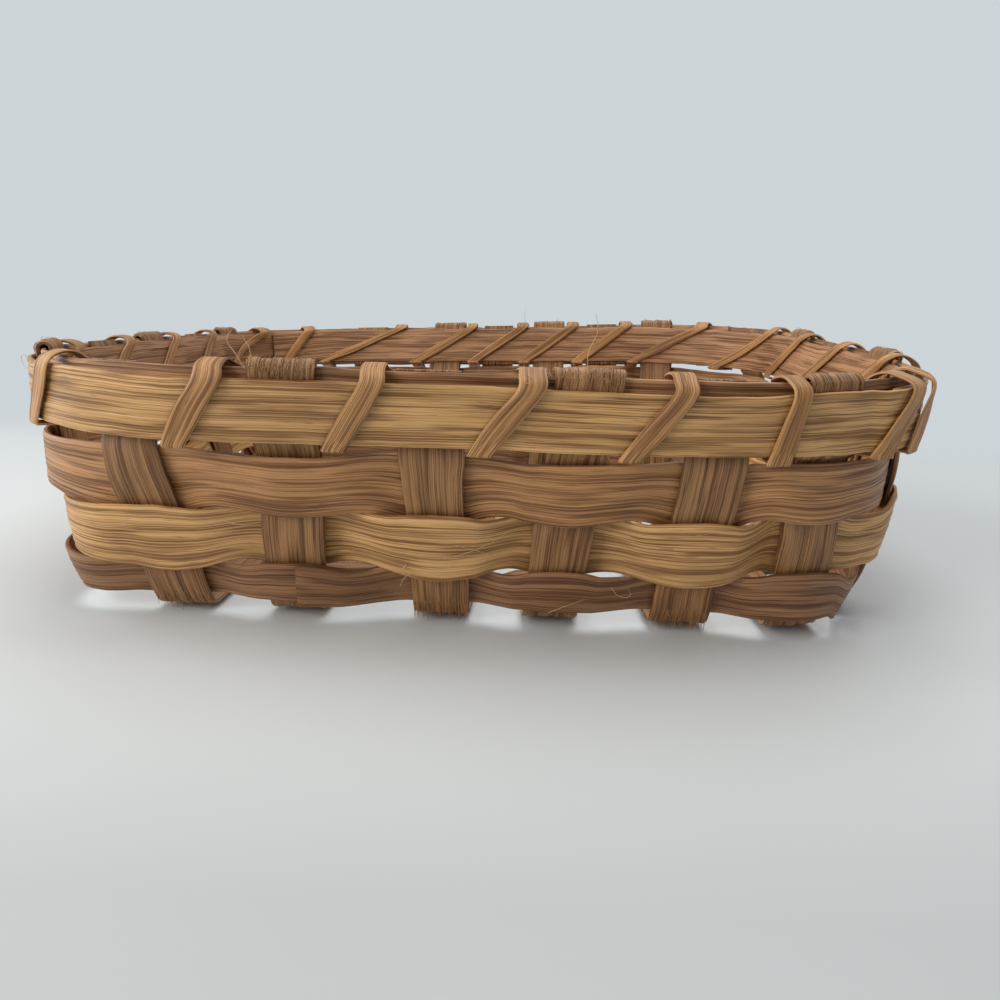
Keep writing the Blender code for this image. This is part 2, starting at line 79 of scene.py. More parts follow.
# The stake where each row's lap starts, from the rim down, the gaps of the hoops' laps, and the
# gaps where the lashing's turns aren't in the middle.
LAP_STARTS = (10, 12, 7, 1)
OUTER_HOOP_LAP, INNER_HOOP_LAP = 5, 16
LASH_PLACES = {5: (0.3, 0.7), 16: (0.3, 0.7), 21: (0.62,)}

# How far each row's edges wave between stakes, spread over its neighbours at the stakes, and sag
# round the right corners, from the rim down. A stake covers STAKE_SHARE of the way to each
# neighbour, and these stakes carry the rows' lift.
LOW_EDGE_WAVES = (0.0, -0.0015, -0.0004, -0.0004)
HIGH_EDGE_WAVES = (0.0, 0.0, 0.0002, 0.0)
LOW_EDGE_SPREADS = (0.0, 0.0023, 0.0024, 0.0)
HIGH_EDGE_SPREADS = (0.0, 0.0, 0.0016, 0.0020)
CORNER_SAGS = (0.0, 0.0003, 0.0011, 0.0022)
SAGGING_GAPS = (5, 10)
STAKE_SHARE = 0.22
ROW_LIFT_SHARES = {
    4: 0.15, 5: 0.8, 6: 1.0, 7: 0.4, 10: 0.8, 11: 1.1, 12: 1.0, 13: 0.97, 14: 0.97, 15: 0.97,
    16: 0.8, 17: 0.35,
}

# How many steps a path has over a stake, in a gap and in a corner's gap, then on each stretch of
# a splint, and the shares at which its other stretches have their lines.
STAKE_STEPS, GAP_STEPS, CORNER_STEPS = 5, 10, 20
SWELL_STEPS, FOLD_STEPS, TAIL_STEPS, BASE_STEPS, CROSSING_STEPS = 6, 8, 9, 30, 8
TOP_GAP_SHARES = (0.0, 0.35, 0.65)
RIM_SHARES = (0.0, 0.33, 0.66, 1.0)
EDGE_SHARES = (0.25, 0.5, 0.75, 1.0)

# Where a row's ends stop on their stakes, where a hoop's ends stop in their gap, and how much of
# the gap a hoop needs to rise over its other end.
LAP_FIRST, LAP_LAST = -0.45, -0.35
HOOP_START, HOOP_END = 0.3, 0.7
LAP_RISE = 0.2

# The lashing's room and lean as shares of its width, its corners as shares of its distance from
# the hoops, and its lines down the inside, columns, ridges and contrast.
BAND_SHARE, LEAN_SHARE = 0.62, 0.92
LASH_BEVEL, LASH_ROUNDING = 0.8, 0.4
LASH_STEPS, LASH_COLUMNS, LASH_RIDGE_SHARE, LASH_CONTRAST = 4, 12, 0.5, 0.8

# A strip's lines: steps of its curve, metres that a turn of one radian adds, steps that a bend is
# averaged over, and the bend, in radians per metre, from which it frays.
CURVE_STEPS, BEND_ROOM, BEND_SPAN, FRAY_BEND = 8, 0.0025, 9, 220.0

# How long the slow and quick ridges and wavers of a strip are, in lines, and how strong, and the
# knots that a random line leaves unused at its end.
RIDGE_REACHES, RIDGE_SHARES, FRAY_RIDGES = (70, 9), (0.7, 0.45, 0.12), 1.5
WAVER_REACHES, WAVER_SHARE = (14, 3), 0.3
SPARE_KNOTS = 2.001
SHARP_ANGLE = math.radians(55)

# Seeds of the random draws, and how far each seed shifts a strip's map.
LONG_SEED, CROSS_SEED, ROW_SEED, HOOP_SEED, LASH_SEED, FIBRE_SEED = 11, 31, 51, 71, 91, 7
MAP_SHIFT = 0.031

# Stakes whose folds over the rim or bends under the base are frayed, with how many fibres stand.
FRAYED_FOLDS = {1: 60, 3: 60, 7: 20, 9: 12, 11: 16, 13: 12, 15: 20, 17: 12, 19: 24, 21: 24}
FRAYED_BENDS = {2: 44, 4: 44, 0: 12, 8: 16, 12: 16, 14: 16, 18: 16}

# The broken fibres' random ranges: reach across the splint as a share, then angles and lengths,
# and for a bundle its steps and how much of a fibre's radius is lost at its tip.
FOLD_REACH, FOLD_STARTS, FOLD_TURNS = 0.96, (-0.5, 0.9), (0.6, 1.7)
FOLD_LIFT, FOLD_SPRING, FOLD_LEAN = 0.00015, (-0.0003, 0.0005), 0.00015
BEND_REACH, BEND_TOP, BEND_TIPS = 0.97, 0.003, (0.0007, 0.0026)
BEND_OUTS, BEND_LEAN, BEND_CLEARANCE = (-0.0003, 0.0004), 0.0002, 0.00012
FIBRE_STEPS, BROKEN_STEPS, LOOSE_STEPS, TIP_TAPER = 3, 3, 8, 0.6

# Loose fibres: each point's stake, share of the way to the next one, height and offset.
LOOSE_FIBRES = (
    ((21, 0.5, 0.058, 0.003), (21, 0.44, 0.06, 0.0045), (21, 0.38, 0.0595, 0.005), (21, 0.42, 0.057, 0.0045)),
    ((1, -0.95, 0.061, 0.0022), (0, 0.97, 0.064, 0.0024), (0, 0.9, 0.0665, 0.0015), (0, 0.93, 0.068, 0.0005)),
    ((1, -0.9, 0.0615, 0.002), (1, -0.85, 0.065, 0.0026), (1, -0.95, 0.067, 0.0015)),
    ((2, 0.8, 0.0605, 0.0025), (2, 0.7, 0.0625, 0.0035), (2, 0.66, 0.0645, 0.0032)),
    ((2, 0.78, 0.060, 0.003), (2, 0.7, 0.061, 0.0044), (2, 0.62, 0.0612, 0.0046)),
    (
        (3, -0.55, 0.062, 0.0018), (3, -0.58, 0.066, 0.0012),
        (3, -0.5, 0.070, 0.0002), (3, -0.56, 0.073, -0.0006),
    ),
    ((2, -0.42, 0.019, 0.0024), (2, -0.1, 0.0205, 0.0026), (2, 0.3, 0.023, 0.0023), (2, 0.6, 0.0255, 0.0016)),
    ((2, -0.2, 0.0225, 0.0024), (2, 0.15, 0.0215, 0.0026), (2, 0.45, 0.0195, 0.0022)),
    ((2, -0.98, 0.017, 0.0023), (1, 0.95, 0.016, 0.0028), (1, 0.85, 0.0155, 0.0026)),
    ((2, -0.9, 0.015, 0.0023), (1, 0.97, 0.0135, 0.0030), (1, 0.93, 0.012, 0.0036)),
    ((3, -0.55, 0.0055, 0.0026), (3, -0.3, 0.0075, 0.0026), (3, -0.02, 0.0095, 0.0025)),
    ((3, 0.35, 0.0125, 0.0016), (3, 0.5, 0.0105, 0.0022), (3, 0.65, 0.011, 0.0024), (3, 0.6, 0.0128, 0.0022)),
    ((5, 0.95, 0.044, 0.003), (6, -0.8, 0.0455, 0.0045), (6, -0.9, 0.0465, 0.005)),
    ((0, 0.55, 0.027, 0.0026), (0, 0.8, 0.0265, 0.0034), (1, -0.9, 0.0275, 0.0036)),
    ((4, -0.9, 0.0285, 0.0016), (4, -0.6, 0.0275, 0.0024), (4, -0.3, 0.0284, 0.0026)),
    ((13, 0.4, 0.060, -0.003), (13, 0.5, 0.064, -0.0036), (13, 0.45, 0.067, -0.003)),
)

# The wood's patterns: features per metre along and across the strip, then the noise's detail and
# shift. Lines have their shift and width there, and threads have neither.
COARSE_FIBRES, FINE_FIBRES = (5.0, 1700.0, 1.0, 0.0), (11.0, 3600.0, 0.0, 0.0)
SLOW_TONE, PATCHES = (24.0, 60.0, 3.0, 0.0), (40.0, 500.0, 1.0, 5.3)
FLECKS, TORN_FIBRES = (110.0, 1900.0, 1.0, 31.7), (60.0, 3600.0, 1.0, 9.1)
# The second of these, the pale lines, are painted highlights of glossy fibres.
DARK_LINES, HIGHLIGHT_LINES = (7.0, 2100.0, 17.1, 0.16), (9.0, 2300.0, 43.9, 0.2)
THREADS, SEAM_WIDTH, FIBRE_ROUGHNESS = (14.0, 2500.0), 0.22, 0.6

# The values between which each pattern grows from nothing to full, and how strongly it shows.
# The second range is where the painted highlight lines show.
DARK_PATCHES, HIGHLIGHT_PATCHES, FLECK_RANGE, SLOW_RANGE = (0.42, 0.62), (0.6, 0.4), (0.68, 0.78), (0.3, 0.7)
TORN_RANGE, SPLIT_RANGE, GLOSS_RANGE, TONE_SPREAD = (0.45, 0.7), (0.45, 0.3), (0.35, 0.65), 0.11
COARSE_SHARE, FINE_SHARE, THREAD_SHARE = 0.25, 0.42, 0.33
# The second share is how strongly the painted highlight lines show.
DARK_LINE_SHARE, HIGHLIGHT_LINE_SHARE, SEAM_SHARE, FLECK_SHARE = 0.36, 0.75, 0.34, 0.45
TORN_SHARE, SPLIT_SHARE, CAST_STRENGTH = 0.7, 0.8, 0.5
SEAM_DEPTH, BUMP_STRENGTH, BUMP_DISTANCE = 0.25, 0.6, 0.0004
WOOD_SPECULAR, HOOP_ROUGHNESS, DULLER, GLOSSIER = 0.4, 0.42, 0.1, 0.06

# Tones of the wood, the fibres and the floor, as shares of their base colours. The pale tone colours both the
# painted highlight lines along the fibres and the torn fibres.
LIGHT_SHARES, PALE_SHARES = (1.42, 1.5, 1.65), (1.7, 1.85, 2.2)
DARK_SHARES, DEEP_SHARES = (0.6, 0.52, 0.45), (0.26, 0.17, 0.12)
CAST_SHARES = ((0.72, 0.66, 0.6), (1.14, 1.12, 1.1))
DARK_HAIR_SHARES, LIGHT_HAIR_SHARES = (0.45, 0.45, 0.45), (1.3, 1.3, 1.3)
# The second is the painted shade on the floor in front.
BROKEN_SHARES, FLOOR_SHADE_SHARES = (1.5, 1.5, 1.5), (0.74, 0.74, 0.74)
HAIR_ROUGHNESS, HAIR_TONES, FLOOR_ROUGHNESS = 0.45, 1400.0, 0.6

# Where the painted shade on the floor's front ends, and where it turns to the backdrop, behind and all round.
FLOOR_SHADE_SPAN, FAR_FLOOR, FAR_ROUND = (-0.17, -0.11), (0.125, 0.215), (0.32, 0.8)
FLOOR_HALF = 6.0

# Each lamp's name, place, size, watts and tint, then the sky, and the camera's turns in degrees.
LAMPS = (
    ("window_lamp", (-0.42, -0.42, 0.28), 0.3, 1.7, (1.0, 0.99, 0.97)),
    ("sky_lamp", (0.12, 0.05, 0.65), 0.6, 2.9, (0.98, 0.99, 1.0)),
    ("side_lamp", (-1.4, 0.15, 0.6), 1.2, 12.0, (0.98, 0.99, 1.0)),
)
SKY_TINT, SKY_STRENGTH = (0.9, 0.95, 1.0), 0.28
CAMERA_PLACE, CAMERA_TURNS = (0.01016, -0.2491, 0.07318), (-1.22, 14.21, 1.83)
CAMERA_SENSOR, CAMERA_LENS, NEAREST = 36.0, 27.04, 0.005

# Sockets of a Mix node that blends colours, and the distance between nodes in the editor.
FIRST_COLOUR, SECOND_COLOUR, MIXED_COLOUR = 6, 7, 2
NODE_DISTANCE = 180


def length(name, description, default):
    return FloatProperty(name=name, description=description, default=default, min=0.0, unit="LENGTH")


def colour(name, description, default):
    return FloatVectorProperty(
        name=name, description=description, default=default, size=3, min=0.0, max=1.0, subtype="COLOR"
    )


class BasketSizes(bpy.types.PropertyGroup):
    """The basket's own sizes, as its solids have them."""

    rim_length: length("Rim length", "Length over the outer hoop", 0.230)
    rim_width: length("Rim width", "Width over the outer hoop", 0.204)
    flare: FloatProperty(
        name="Flare", description="Lean of the walls", default=math.radians(17.0), unit="ROTATION"
    )
    end_bow: length("End bow", "How far the end walls bow out below the rim", 0.0028)
    front_right_radius: length("Front right corner", "Radius of the rim at this corner", 0.064)
    back_right_radius: length("Back right corner", "Radius of the rim at this corner", 0.058)
    back_left_radius: length("Back left corner", "Radius of the rim at this corner", 0.042)
    front_left_radius: length("Front left corner", "Radius of the rim at this corner", 0.058)
    right_base_radius: length("Right base corners", "Radius of the base corners there", 0.022)
    left_base_radius: length("Left base corners", "Radius of the base corners there", 0.009)
    corner_opening_power: FloatProperty(
        name="Corner opening", description="How late the corners open out", default=1.2, min=1.0
    )
    back_right_rise: length("Back right rise", "How much higher the rim stands there", 0.0102)
    row_lift: length("Row lift", "How far the rows rise at the front right", 0.0026)
    splint_width: length("Splint width", "Width of the base splints and stakes", 0.0135)
    splint_thickness: length("Splint thickness", "Thickness of the splints", 0.0011)
    edge_radius: length("Base edge radius", "Bend from the wall into the base", 0.003)
    swell: length("Stake swell", "How far stakes bow between the rows", 0.0004)
    row_width: length("Row width", "Width of the upper two rows", 0.0138)
    bottom_row_width: length("Bottom row width", "Width of the lowest row", 0.0096)
    row_gap: length("Row gap", "Gap between the rows", 0.0008)
    rim_gap: length("Rim gap", "Gap between the top row and the hoops", 0.0043)
    hoop_height: length("Hoop height", "Height of the hoops", 0.0136)
    hoop_thickness: length("Hoop thickness", "Thickness of the hoops", 0.0012)
    rim_row_stand: length("Rim row stand", "How far the rim row stands above the hoops", 0.0015)
    lash_width: length("Lashing width", "Width of the lashing strip", 0.0050)
    lash_thickness: length("Lashing thickness", "Thickness of the lashing strip", 0.0007)
    lash_clearance: length("Lashing clearance", "Room under the lashing", 0.0005)
    clearance: length("Clearance", "Room between splints that cross", 0.00035)
    side_clearance: length("Side clearance", "Room beside a splint that a row passes", 0.0006)


class BasketLooks(bpy.types.PropertyGroup):
    """Fibres, edges and colours of the wood."""

    spacing: length("Spacing", "Distance between the lines across a strip", 0.0013)
    columns: IntProperty(name="Columns", description="Faces across a strip", default=24, min=4)
    ridge: length("Fibre ridges", "Height of the ridges along the fibres", 0.00007)
    waver: length("Edge waver", "How far a strip's edges wander", 0.0002)
    edge_round: length("Edge rounding", "How far a strip's edges are rounded", 0.00025)
    bow: length("Row bow", "How far a row bows over the stakes that it passes", 0.0005)
    hair_radius: length("Hair radius", "Radius of a loose fibre", 0.0001)
    stake_colour: colour("Stakes", "Colour of the stakes and base", (0.270, 0.130, 0.046))
    dark_colour: colour("Top row", "Colour of the top row", (0.36, 0.172, 0.060))
    # The bottom row's colour is darker partly as its own tone and partly as painted shade low on the wall.
    low_colour: colour("Bottom row", "Colour of the bottom row", (0.235, 0.108, 0.041))
    pale_colour: colour("Pale row", "Colour of the middle row", (0.50, 0.270, 0.094))
    hoop_colour: colour("Outer hoop", "Colour of the outer hoop", (0.475, 0.255, 0.085))
    inner_colour: colour("Inner hoop", "Colour of the inner hoop", (0.34, 0.166, 0.066))
    lash_colour: colour("Lashing", "Colour of the lashing strip", (0.40, 0.195, 0.064))
    hair_colour: colour("Loose fibres", "Colour of the loose fibres", (0.60, 0.40, 0.20))
    floor_colour: colour("Floor", "Colour of the floor", (0.68, 0.70, 0.69))
    backdrop_colour: colour("Backdrop", "Colour of the room behind", (0.61, 0.66, 0.69))


def smooth(share):
    """An S-shaped step from 0 to 1."""
    share = min(max(share, 0.0), 1.0)
    return share * share * (3 - 2 * share)


class Form:
    """The basket's walls and the paths of its splints, worked out from the sizes."""

    def __init__(self, sizes, looks):
        self.sizes, self.looks = sizes, looks
        self.step = sizes.splint_thickness + sizes.clearance
        self.half = sizes.splint_thickness / 2
        self.flat = sizes.splint_width / 2 + sizes.side_clearance
        self.upright = math.cos(sizes.flare)
        self.base_level = self.step + self.half
        gap = sizes.row_gap * self.upright
        bottom = self.base_level + sizes.edge_radius * self.upright
        middle = bottom + sizes.bottom_row_width * self.upright + gap
        top = middle + sizes.row_width * self.upright + gap
        top_end = top + sizes.row_width * self.upright
        hoop = top_end + sizes.rim_gap * self.upright
        self.hoop_edges = (hoop, hoop + sizes.hoop_height * self.upright)
        rim_end = self.hoop_edges[1] + sizes.rim_row_stand * self.upright
        self.row_bands = ((hoop, rim_end), (top, top_end), (middle, top - gap), (bottom, middle - gap))
        self.wall_height = self.hoop_edges[1] - self.base_level
        self.inset = self.wall_height * math.tan(sizes.flare)
        half_hoop = sizes.hoop_thickness / 2
        self.hoop_place = self.step + self.half + sizes.clearance + half_hoop
        self.hoop_face = self.hoop_place + half_hoop
        self.hoop_lap = sizes.hoop_thickness + sizes.clearance
        face = self.hoop_face * self.upright
        self.rim_half = (sizes.rim_length / 2 - face, sizes.rim_width / 2 - face)
        self.base_half = (self.rim_half[0] - self.inset, self.rim_half[1] - self.inset)
        self.radii = (
            (sizes.right_base_radius, sizes.front_right_radius),
            (sizes.right_base_radius, sizes.back_right_radius),
            (sizes.left_base_radius, sizes.back_left_radius),
            (sizes.left_base_radius, sizes.front_left_radius),
        )
        self.stakes = self.stake_ends()
        self.count = len(self.stakes)
        self.corner_gaps = [
            index
            for index in range(self.count)
            if self.stakes[index][0] != self.stakes[(index + 1) % self.count][0]
        ]

    def stake_ends(self):
        """The stakes in order round the wall: side, splint number, and place at the rim and the base."""
        ends = []
        for side, rim_shares, base_shares in (
            (FRONT, FRONT_RIM_SHARES, FRONT_BASE_SHARES),
            (RIGHT, RIGHT_RIM_SHARES, RIGHT_BASE_SHARES),
            (BACK, BACK_RIM_SHARES, BACK_BASE_SHARES),
            (LEFT, LEFT_RIM_SHARES, LEFT_BASE_SHARES),
        ):
            axis = 0 if side in (FRONT, BACK) else 1
            sign = 1 if side in (FRONT, RIGHT) else -1
            places = [
                (side, number, sign * rim * self.rim_half[axis], sign * base * self.base_half[axis])
                for number, (rim, base) in enumerate(zip(rim_shares, base_shares))
            ]
            ends += places[::sign]
        return ends

    def corner_radius(self, corner, share):
        """A corner opens out from the base to the rim, a little slower at first."""
        base, rim = self.radii[corner]
        return base + (rim - base) * max(share, 0.0) ** self.sizes.corner_opening_power

    def half_sizes(self, share):
        """Half the length and half the width. The end walls bow out, most at a third of their height."""
        bow = self.sizes.end_bow * share * (1 - share) ** 2 / BOW_PEAK
        return self.base_half[0] + self.inset * share + bow, self.base_half[1] + self.inset * share

    def side_sizes(self, side, share):
        """Half the side's length, its distance from the middle, and its two corner radii."""
        sizes = self.half_sizes(share)
        half_length, distance = sizes if side in (FRONT, BACK) else sizes[::-1]
        return (
            half_length,
            distance,
            self.corner_radius((side - 1) % 4, share),
            self.corner_radius(side, share),
        )

    def side_middles(self, share):
        """Distance round the outline from the front's middle to each side's middle."""
        middles = [0.0]
        for side in range(4):
            here, _, _, radius = self.side_sizes(side, share)
            following = self.side_sizes((side + 1) % 4, share)[0]
            middles.append(middles[-1] + here + following - 2 * radius + radius * math.pi / 2)
        return middles

    def outline_point(self, arc, share):
        """Point, outward direction and flare at a distance round the outline."""
        middles = self.side_middles(share)
        arc = arc % middles[4]
        for side in range(5):
            half_length, distance, before, after = self.side_sizes(side % 4, share)
            along = arc - middles[side]
            if along <= half_length - after + after * math.pi / 4:
                break
        tangent, outward = TANGENTS[side % 4], OUTWARDS[side % 4]
        higher = self.side_sizes(side % 4, share + SLOPE_STEP)
        sign, radius, higher_radius = (1, after, higher[3]) if along > 0 else (-1, before, higher[2])
        turn = max(abs(along) - (half_length - radius), 0) / radius
        reach = min(abs(along), half_length - radius) + radius * math.sin(turn)
        away = distance - radius + radius * math.cos(turn)
        point = tangent * (sign * reach) + outward * away
        normal = tangent * (sign * math.sin(turn)) + outward * math.cos(turn)
        opening = higher_radius - radius
        spread = math.sin(turn) * (higher[0] - half_length - opening)
        spread += math.cos(turn) * (higher[1] - distance - opening) + opening
        return point, normal, math.atan(spread / SLOPE_STEP / self.wall_height)

    def height_share(self, z):
        return (z - self.base_level) / self.wall_height

    def warped(self, point):
        """The basket stands a little higher at its back right corner."""
        sizes = self.sizes
        rise = (point.x / sizes.rim_length + 0.5) * (point.y / sizes.rim_width + 0.5)
        lift = 1 + rise * sizes.back_right_rise / self.hoop_edges[1]
        return Vector((point.x, point.y, point.z * lift))

    def wall_point(self, arc, z, offset):
        """A point of the wall, offset outwards from the middle of the stakes."""
        point, normal, flare = self.outline_point(arc, self.height_share(z))
        out = point + normal * (offset * math.cos(flare))
        return self.warped(Vector((out.x, out.y, z - offset * math.sin(flare))))

    def stake_arc(self, index, z):
        """Distance round the outline to a stake, counted on past the first one for a second lap."""
        laps, index = divmod(index, self.count)
        side, _, rim, base = self.stakes[index]
        share = self.height_share(z)
        middles = self.side_middles(share)
        return middles[side] + base + (rim - base) * share + laps * middles[4]

    def is_outside(self, index, row):
        """Whether a stake passes outside a row."""
        return (index + row) % 2 == 1

    def ring_point(self, index, share, z, offset):
        """A point of a row. A share of 0 to 1 leads to the next stake, and -1 to 0 across a stake."""
        here = self.stake_arc(index, z)
        if share < 0:
            return self.wall_point(here + self.flat * (2 * share + 1), z, offset)
        gap = self.stake_arc(index + 1, z) - here - 2 * self.flat
        return self.wall_point(here + self.flat + gap * share, z, offset)

    def row_offset(self, row, index, layer):
        """How far a row lies from the stakes' middle as it passes one."""
        if self.is_outside(index, row):
            tail = 1 if row == MIDDLE_ROW else 0
            return -self.step * (1 + tail + (layer < 0))
        return self.step * (1 + (layer > 0))

    def lifted_edges(self, row, index):
        """Edges of a row at a stake. Where the rows lift, the bottom row grows wider instead."""
        low, high = self.row_bands[row]
        lift = self.sizes.row_lift * ROW_LIFT_SHARES.get(index % self.count, 0.0)
        return low if row == BOTTOM_ROW else low + lift, high + lift

    def row_edges(self, row, index, share):
        """Edges of a row, which wave and spread past the stakes, and sag in some corners."""
        low, high = self.lifted_edges(row, index)
        place, sag = index + STAKE_SHARE * (2 * share + 1), 0.0
        if share >= 0:
            place = index + STAKE_SHARE + (1 - 2 * STAKE_SHARE) * share
            next_low, next_high = self.lifted_edges(row, index + 1)
            low += (next_low - low) * smooth(share)
            high += (next_high - high) * smooth(share)
            if index % self.count in SAGGING_GAPS:
                sag = CORNER_SAGS[row] * smooth(share * 3) * smooth(3 - share * 3)
        wave = math.cos(math.pi * (place + row))
        low -= LOW_EDGE_WAVES[row] * wave + LOW_EDGE_SPREADS[row] * wave**2 + sag
        high += HIGH_EDGE_SPREADS[row] * wave**2 - HIGH_EDGE_WAVES[row] * wave - sag
        return low, high


def ring_path(form, stations, bow=0.0):
    """The lines across a row or hoop, from its lower edge to its upper one."""
    path = []
    for index, share, offset, (low, high) in stations:
        if share < 0:
            offset += math.copysign(bow * (1 - (2 * share + 1) ** 2), offset)
        heights = (low, (low + high) / 2, high)
        path.append([form.ring_point(index, share, z, offset) for z in heights])
    return path


def gap_shares(form, index):
    """The places of a row's lines between one stake and the next."""
    steps = CORNER_STEPS if index % form.count in form.corner_gaps else GAP_STEPS
    return [step / steps for step in range(steps)]


def weaver_path(form, row):
    """A row of weaver. It starts and ends on its lap, where two layers pass two stakes."""
    start = LAP_STARTS[row]
    last = start + form.count + 1

    def offset_at(index):
        layer = 1 if index <= start + 1 else -1 if index >= start + form.count else 0
        return form.row_offset(row, index, layer)

    stations = []
    for index in range(start, last + 1):
        first = LAP_FIRST if index == start else -1.0
        end = LAP_LAST if index == last else 0.0
        for step in range(STAKE_STEPS + (index == last)):
            share = first + (end - first) * step / STAKE_STEPS
            stations.append((index, share, offset_at(index), form.row_edges(row, index, share)))
        if index == last:
            break
        here, there = offset_at(index), offset_at(index + 1)
        for share in gap_shares(form, index):
            offset = here + (there - here) * smooth(share)
            stations.append((index, share, offset, form.row_edges(row, index, share)))
    return ring_path(form, stations, form.looks.bow)


def hoop_path(form, start, place, under, over, edges):
    """A hoop or the rim row. Its ends lap in the gap after the starting stake."""
    stations = []
    for index in range(start, start + form.count + 1):
        if index > start:
            for step in range(STAKE_STEPS):
                stations.append((index, step / STAKE_STEPS - 1, place, edges))
        for share in gap_shares(form, index):
            offset = place
            if index == start:
                if share < HOOP_START:
                    continue
                offset += under * (1 - smooth((share - HOOP_END) / (1 - HOOP_END)))
            if index == start + form.count:
                if share > HOOP_END:
                    continue
                offset += over * smooth(share / LAP_RISE)
            stations.append((index, share, offset, edges))
    return ring_path(form, stations)


def wall_line(form, index, z, offset, flip):
    """The line across a stake at a height of the wall."""
    arc = form.stake_arc(index, z)
    half_width = form.sizes.splint_width / 2
    return [form.wall_point(arc + side * flip * half_width, z, offset) for side in (-1, 0, 1)]


def wall_path(form, index, flip):
    """The lines across a stake, from its end down to the base edge."""
    rim_low, rim_high = form.row_bands[RIM_ROW]
    outside = form.is_outside(index, RIM_ROW)
    rim_offset = form.step if outside else -form.step
    places = []
    for row in (BOTTOM_ROW, MIDDLE_ROW, TOP_ROW):
        low, high = form.lifted_edges(row, index)
        swell = form.sizes.swell if form.is_outside(index, row) else -form.sizes.swell
        for step in range(SWELL_STEPS):
            share = step / SWELL_STEPS
            places.append((low + (high - low) * share, swell * math.sin(math.pi * share)))
    gap = rim_low - high
    places += [(high + gap * share, rim_offset * smooth(share)) for share in TOP_GAP_SHARES]
    places += [(rim_low + (rim_high - rim_low) * share, rim_offset) for share in RIM_SHARES]
    if outside:
        for step in range(1, FOLD_STEPS):
            angle = math.pi * step / FOLD_STEPS
            z = rim_high + form.step * form.upright * math.sin(angle)
            places.append((z, form.step * math.cos(angle)))
        tail_end = form.lifted_edges(MIDDLE_ROW, index)[0] + form.sizes.edge_radius
        drop = tail_end - rim_high
        places += [(rim_high + drop * step / TAIL_STEPS, -form.step) for step in range(TAIL_STEPS + 1)]
    return [wall_line(form, index, z, offset, flip) for z, offset in places[::-1]]


def edge_path(form, index, flip, inward):
    """The lines where a stake bends from the wall into the base."""
    wall = wall_line(form, index, form.row_bands[BOTTOM_ROW][0], 0.0, flip)
    corner = wall_line(form, index, form.base_level, 0.0, flip)
    path = []
    for share in EDGE_SHARES:
        line = []
        for near, bend in zip(wall, corner):
            far = bend + inward * form.sizes.edge_radius
            line.append(near * (1 - share) ** 2 + bend * (2 * share * (1 - share)) + far * share**2)
        path.append(line)
    return path


def find_stake(form, side, number):
    """Where a splint's stake at one side comes in the order round the wall."""
    return next(i for i, stake in enumerate(form.stakes) if stake[0] == side and stake[1] == number)


def both_walls(form, number, sides, flip, inward):
    """A splint's lines down to the base at one side, and up from the base at the other."""
    near, far = (find_stake(form, side, number) for side in sides)
    start = wall_path(form, near, flip) + edge_path(form, near, flip, inward)
    end = wall_path(form, far, -flip) + edge_path(form, far, -flip, -inward)
    return start, end[::-1]


def long_splint_path(form, number):
    """A splint that runs front to back. It lies level in the base."""
    path, end = both_walls(form, number, (FRONT, BACK), 1, Vector((0, 1, 0)))
    start_line, end_line = path[-1], end[0]
    for step in range(1, BASE_STEPS):
        path.append([a.lerp(b, step / BASE_STEPS) for a, b in zip(start_line, end_line)])
    return path + end


def long_splint_place(form, number, y):
    """Where a long splint's middle lies in the base, at a distance from front to back."""
    share = (y / form.base_half[1] + 1) / 2
    front = FRONT_BASE_SHARES[number] * form.base_half[0]
    back = BACK_BASE_SHARES[number] * form.base_half[0]
    return front + (back - front) * share


def cross_splint_place(form, number, x):
    """Where a cross splint's middle lies in the base, at a distance from left to right."""
    share = (x / form.base_half[0] + 1) / 2
    left = LEFT_BASE_SHARES[number] * form.base_half[1]
    right = RIGHT_BASE_SHARES[number] * form.base_half[1]
    return left + (right - left) * share


def cross_splint_base(form, number):
    """The lines across a cross splint in the base, over and under the long splints."""
    last = len(FRONT_BASE_SHARES)
    edge = form.base_half[0] - form.sizes.edge_radius

    def level_at(crossing):
        if crossing in (-1, last):
            return form.base_level
        return form.base_level + (form.step if (number + crossing) % 2 else -form.step)

    path = []
    for crossing in range(-1, last):
        here, there = level_at(crossing), level_at(crossing + 1)
        for step in range(CROSSING_STEPS + 1):
            share = step / CROSSING_STEPS
            if (crossing, step) in ((-1, 0), (last - 1, CROSSING_STEPS)):
                continue
            line = []
            for side in (-1, 0, 1):
                y = cross_splint_place(form, number, 0.0) + side * form.sizes.splint_width / 2
                start = long_splint_place(form, crossing, y) + form.flat if crossing >= 0 else -edge
                end = edge
                if crossing + 1 < last:
                    end = long_splint_place(form, crossing + 1, y) - form.flat
                x = start + (end - start) * share
                across = cross_splint_place(form, number, x) + side * form.sizes.splint_width / 2
                level = here + (there - here) * smooth(share)
                line.append(form.warped(Vector((x, across, level))))
            path.append(line)
    return path


def cross_splint_path(form, number):
    """A splint that runs left to right. It weaves through the long splints in the base."""
    path, end = both_walls(form, number, (LEFT, RIGHT), -1, Vector((1, 0, 0)))
    return path + cross_splint_base(form, number) + end


def ring_place(form, arc, z):
    """The stake and share of a distance round the outline."""
    index = 0
    while form.stake_arc(index + 1, z) - form.flat <= arc:
        index += 1
    here = form.stake_arc(index, z)
    if arc < here + form.flat:
        return index, (arc - here - form.flat) / (2 * form.flat)
    gap = form.stake_arc(index + 1, z) - here - 2 * form.flat
    return index, (arc - here - form.flat) / gap


def lap_swell(form, index, share, lap_gap):
    """How much of a hoop's lap lies under the lashing at a place in the gap."""
    if index % form.count != lap_gap or share < 0:
        return 0.0
    return smooth(share / LAP_RISE) * (1 - smooth((share - 1 + LAP_RISE) / LAP_RISE))


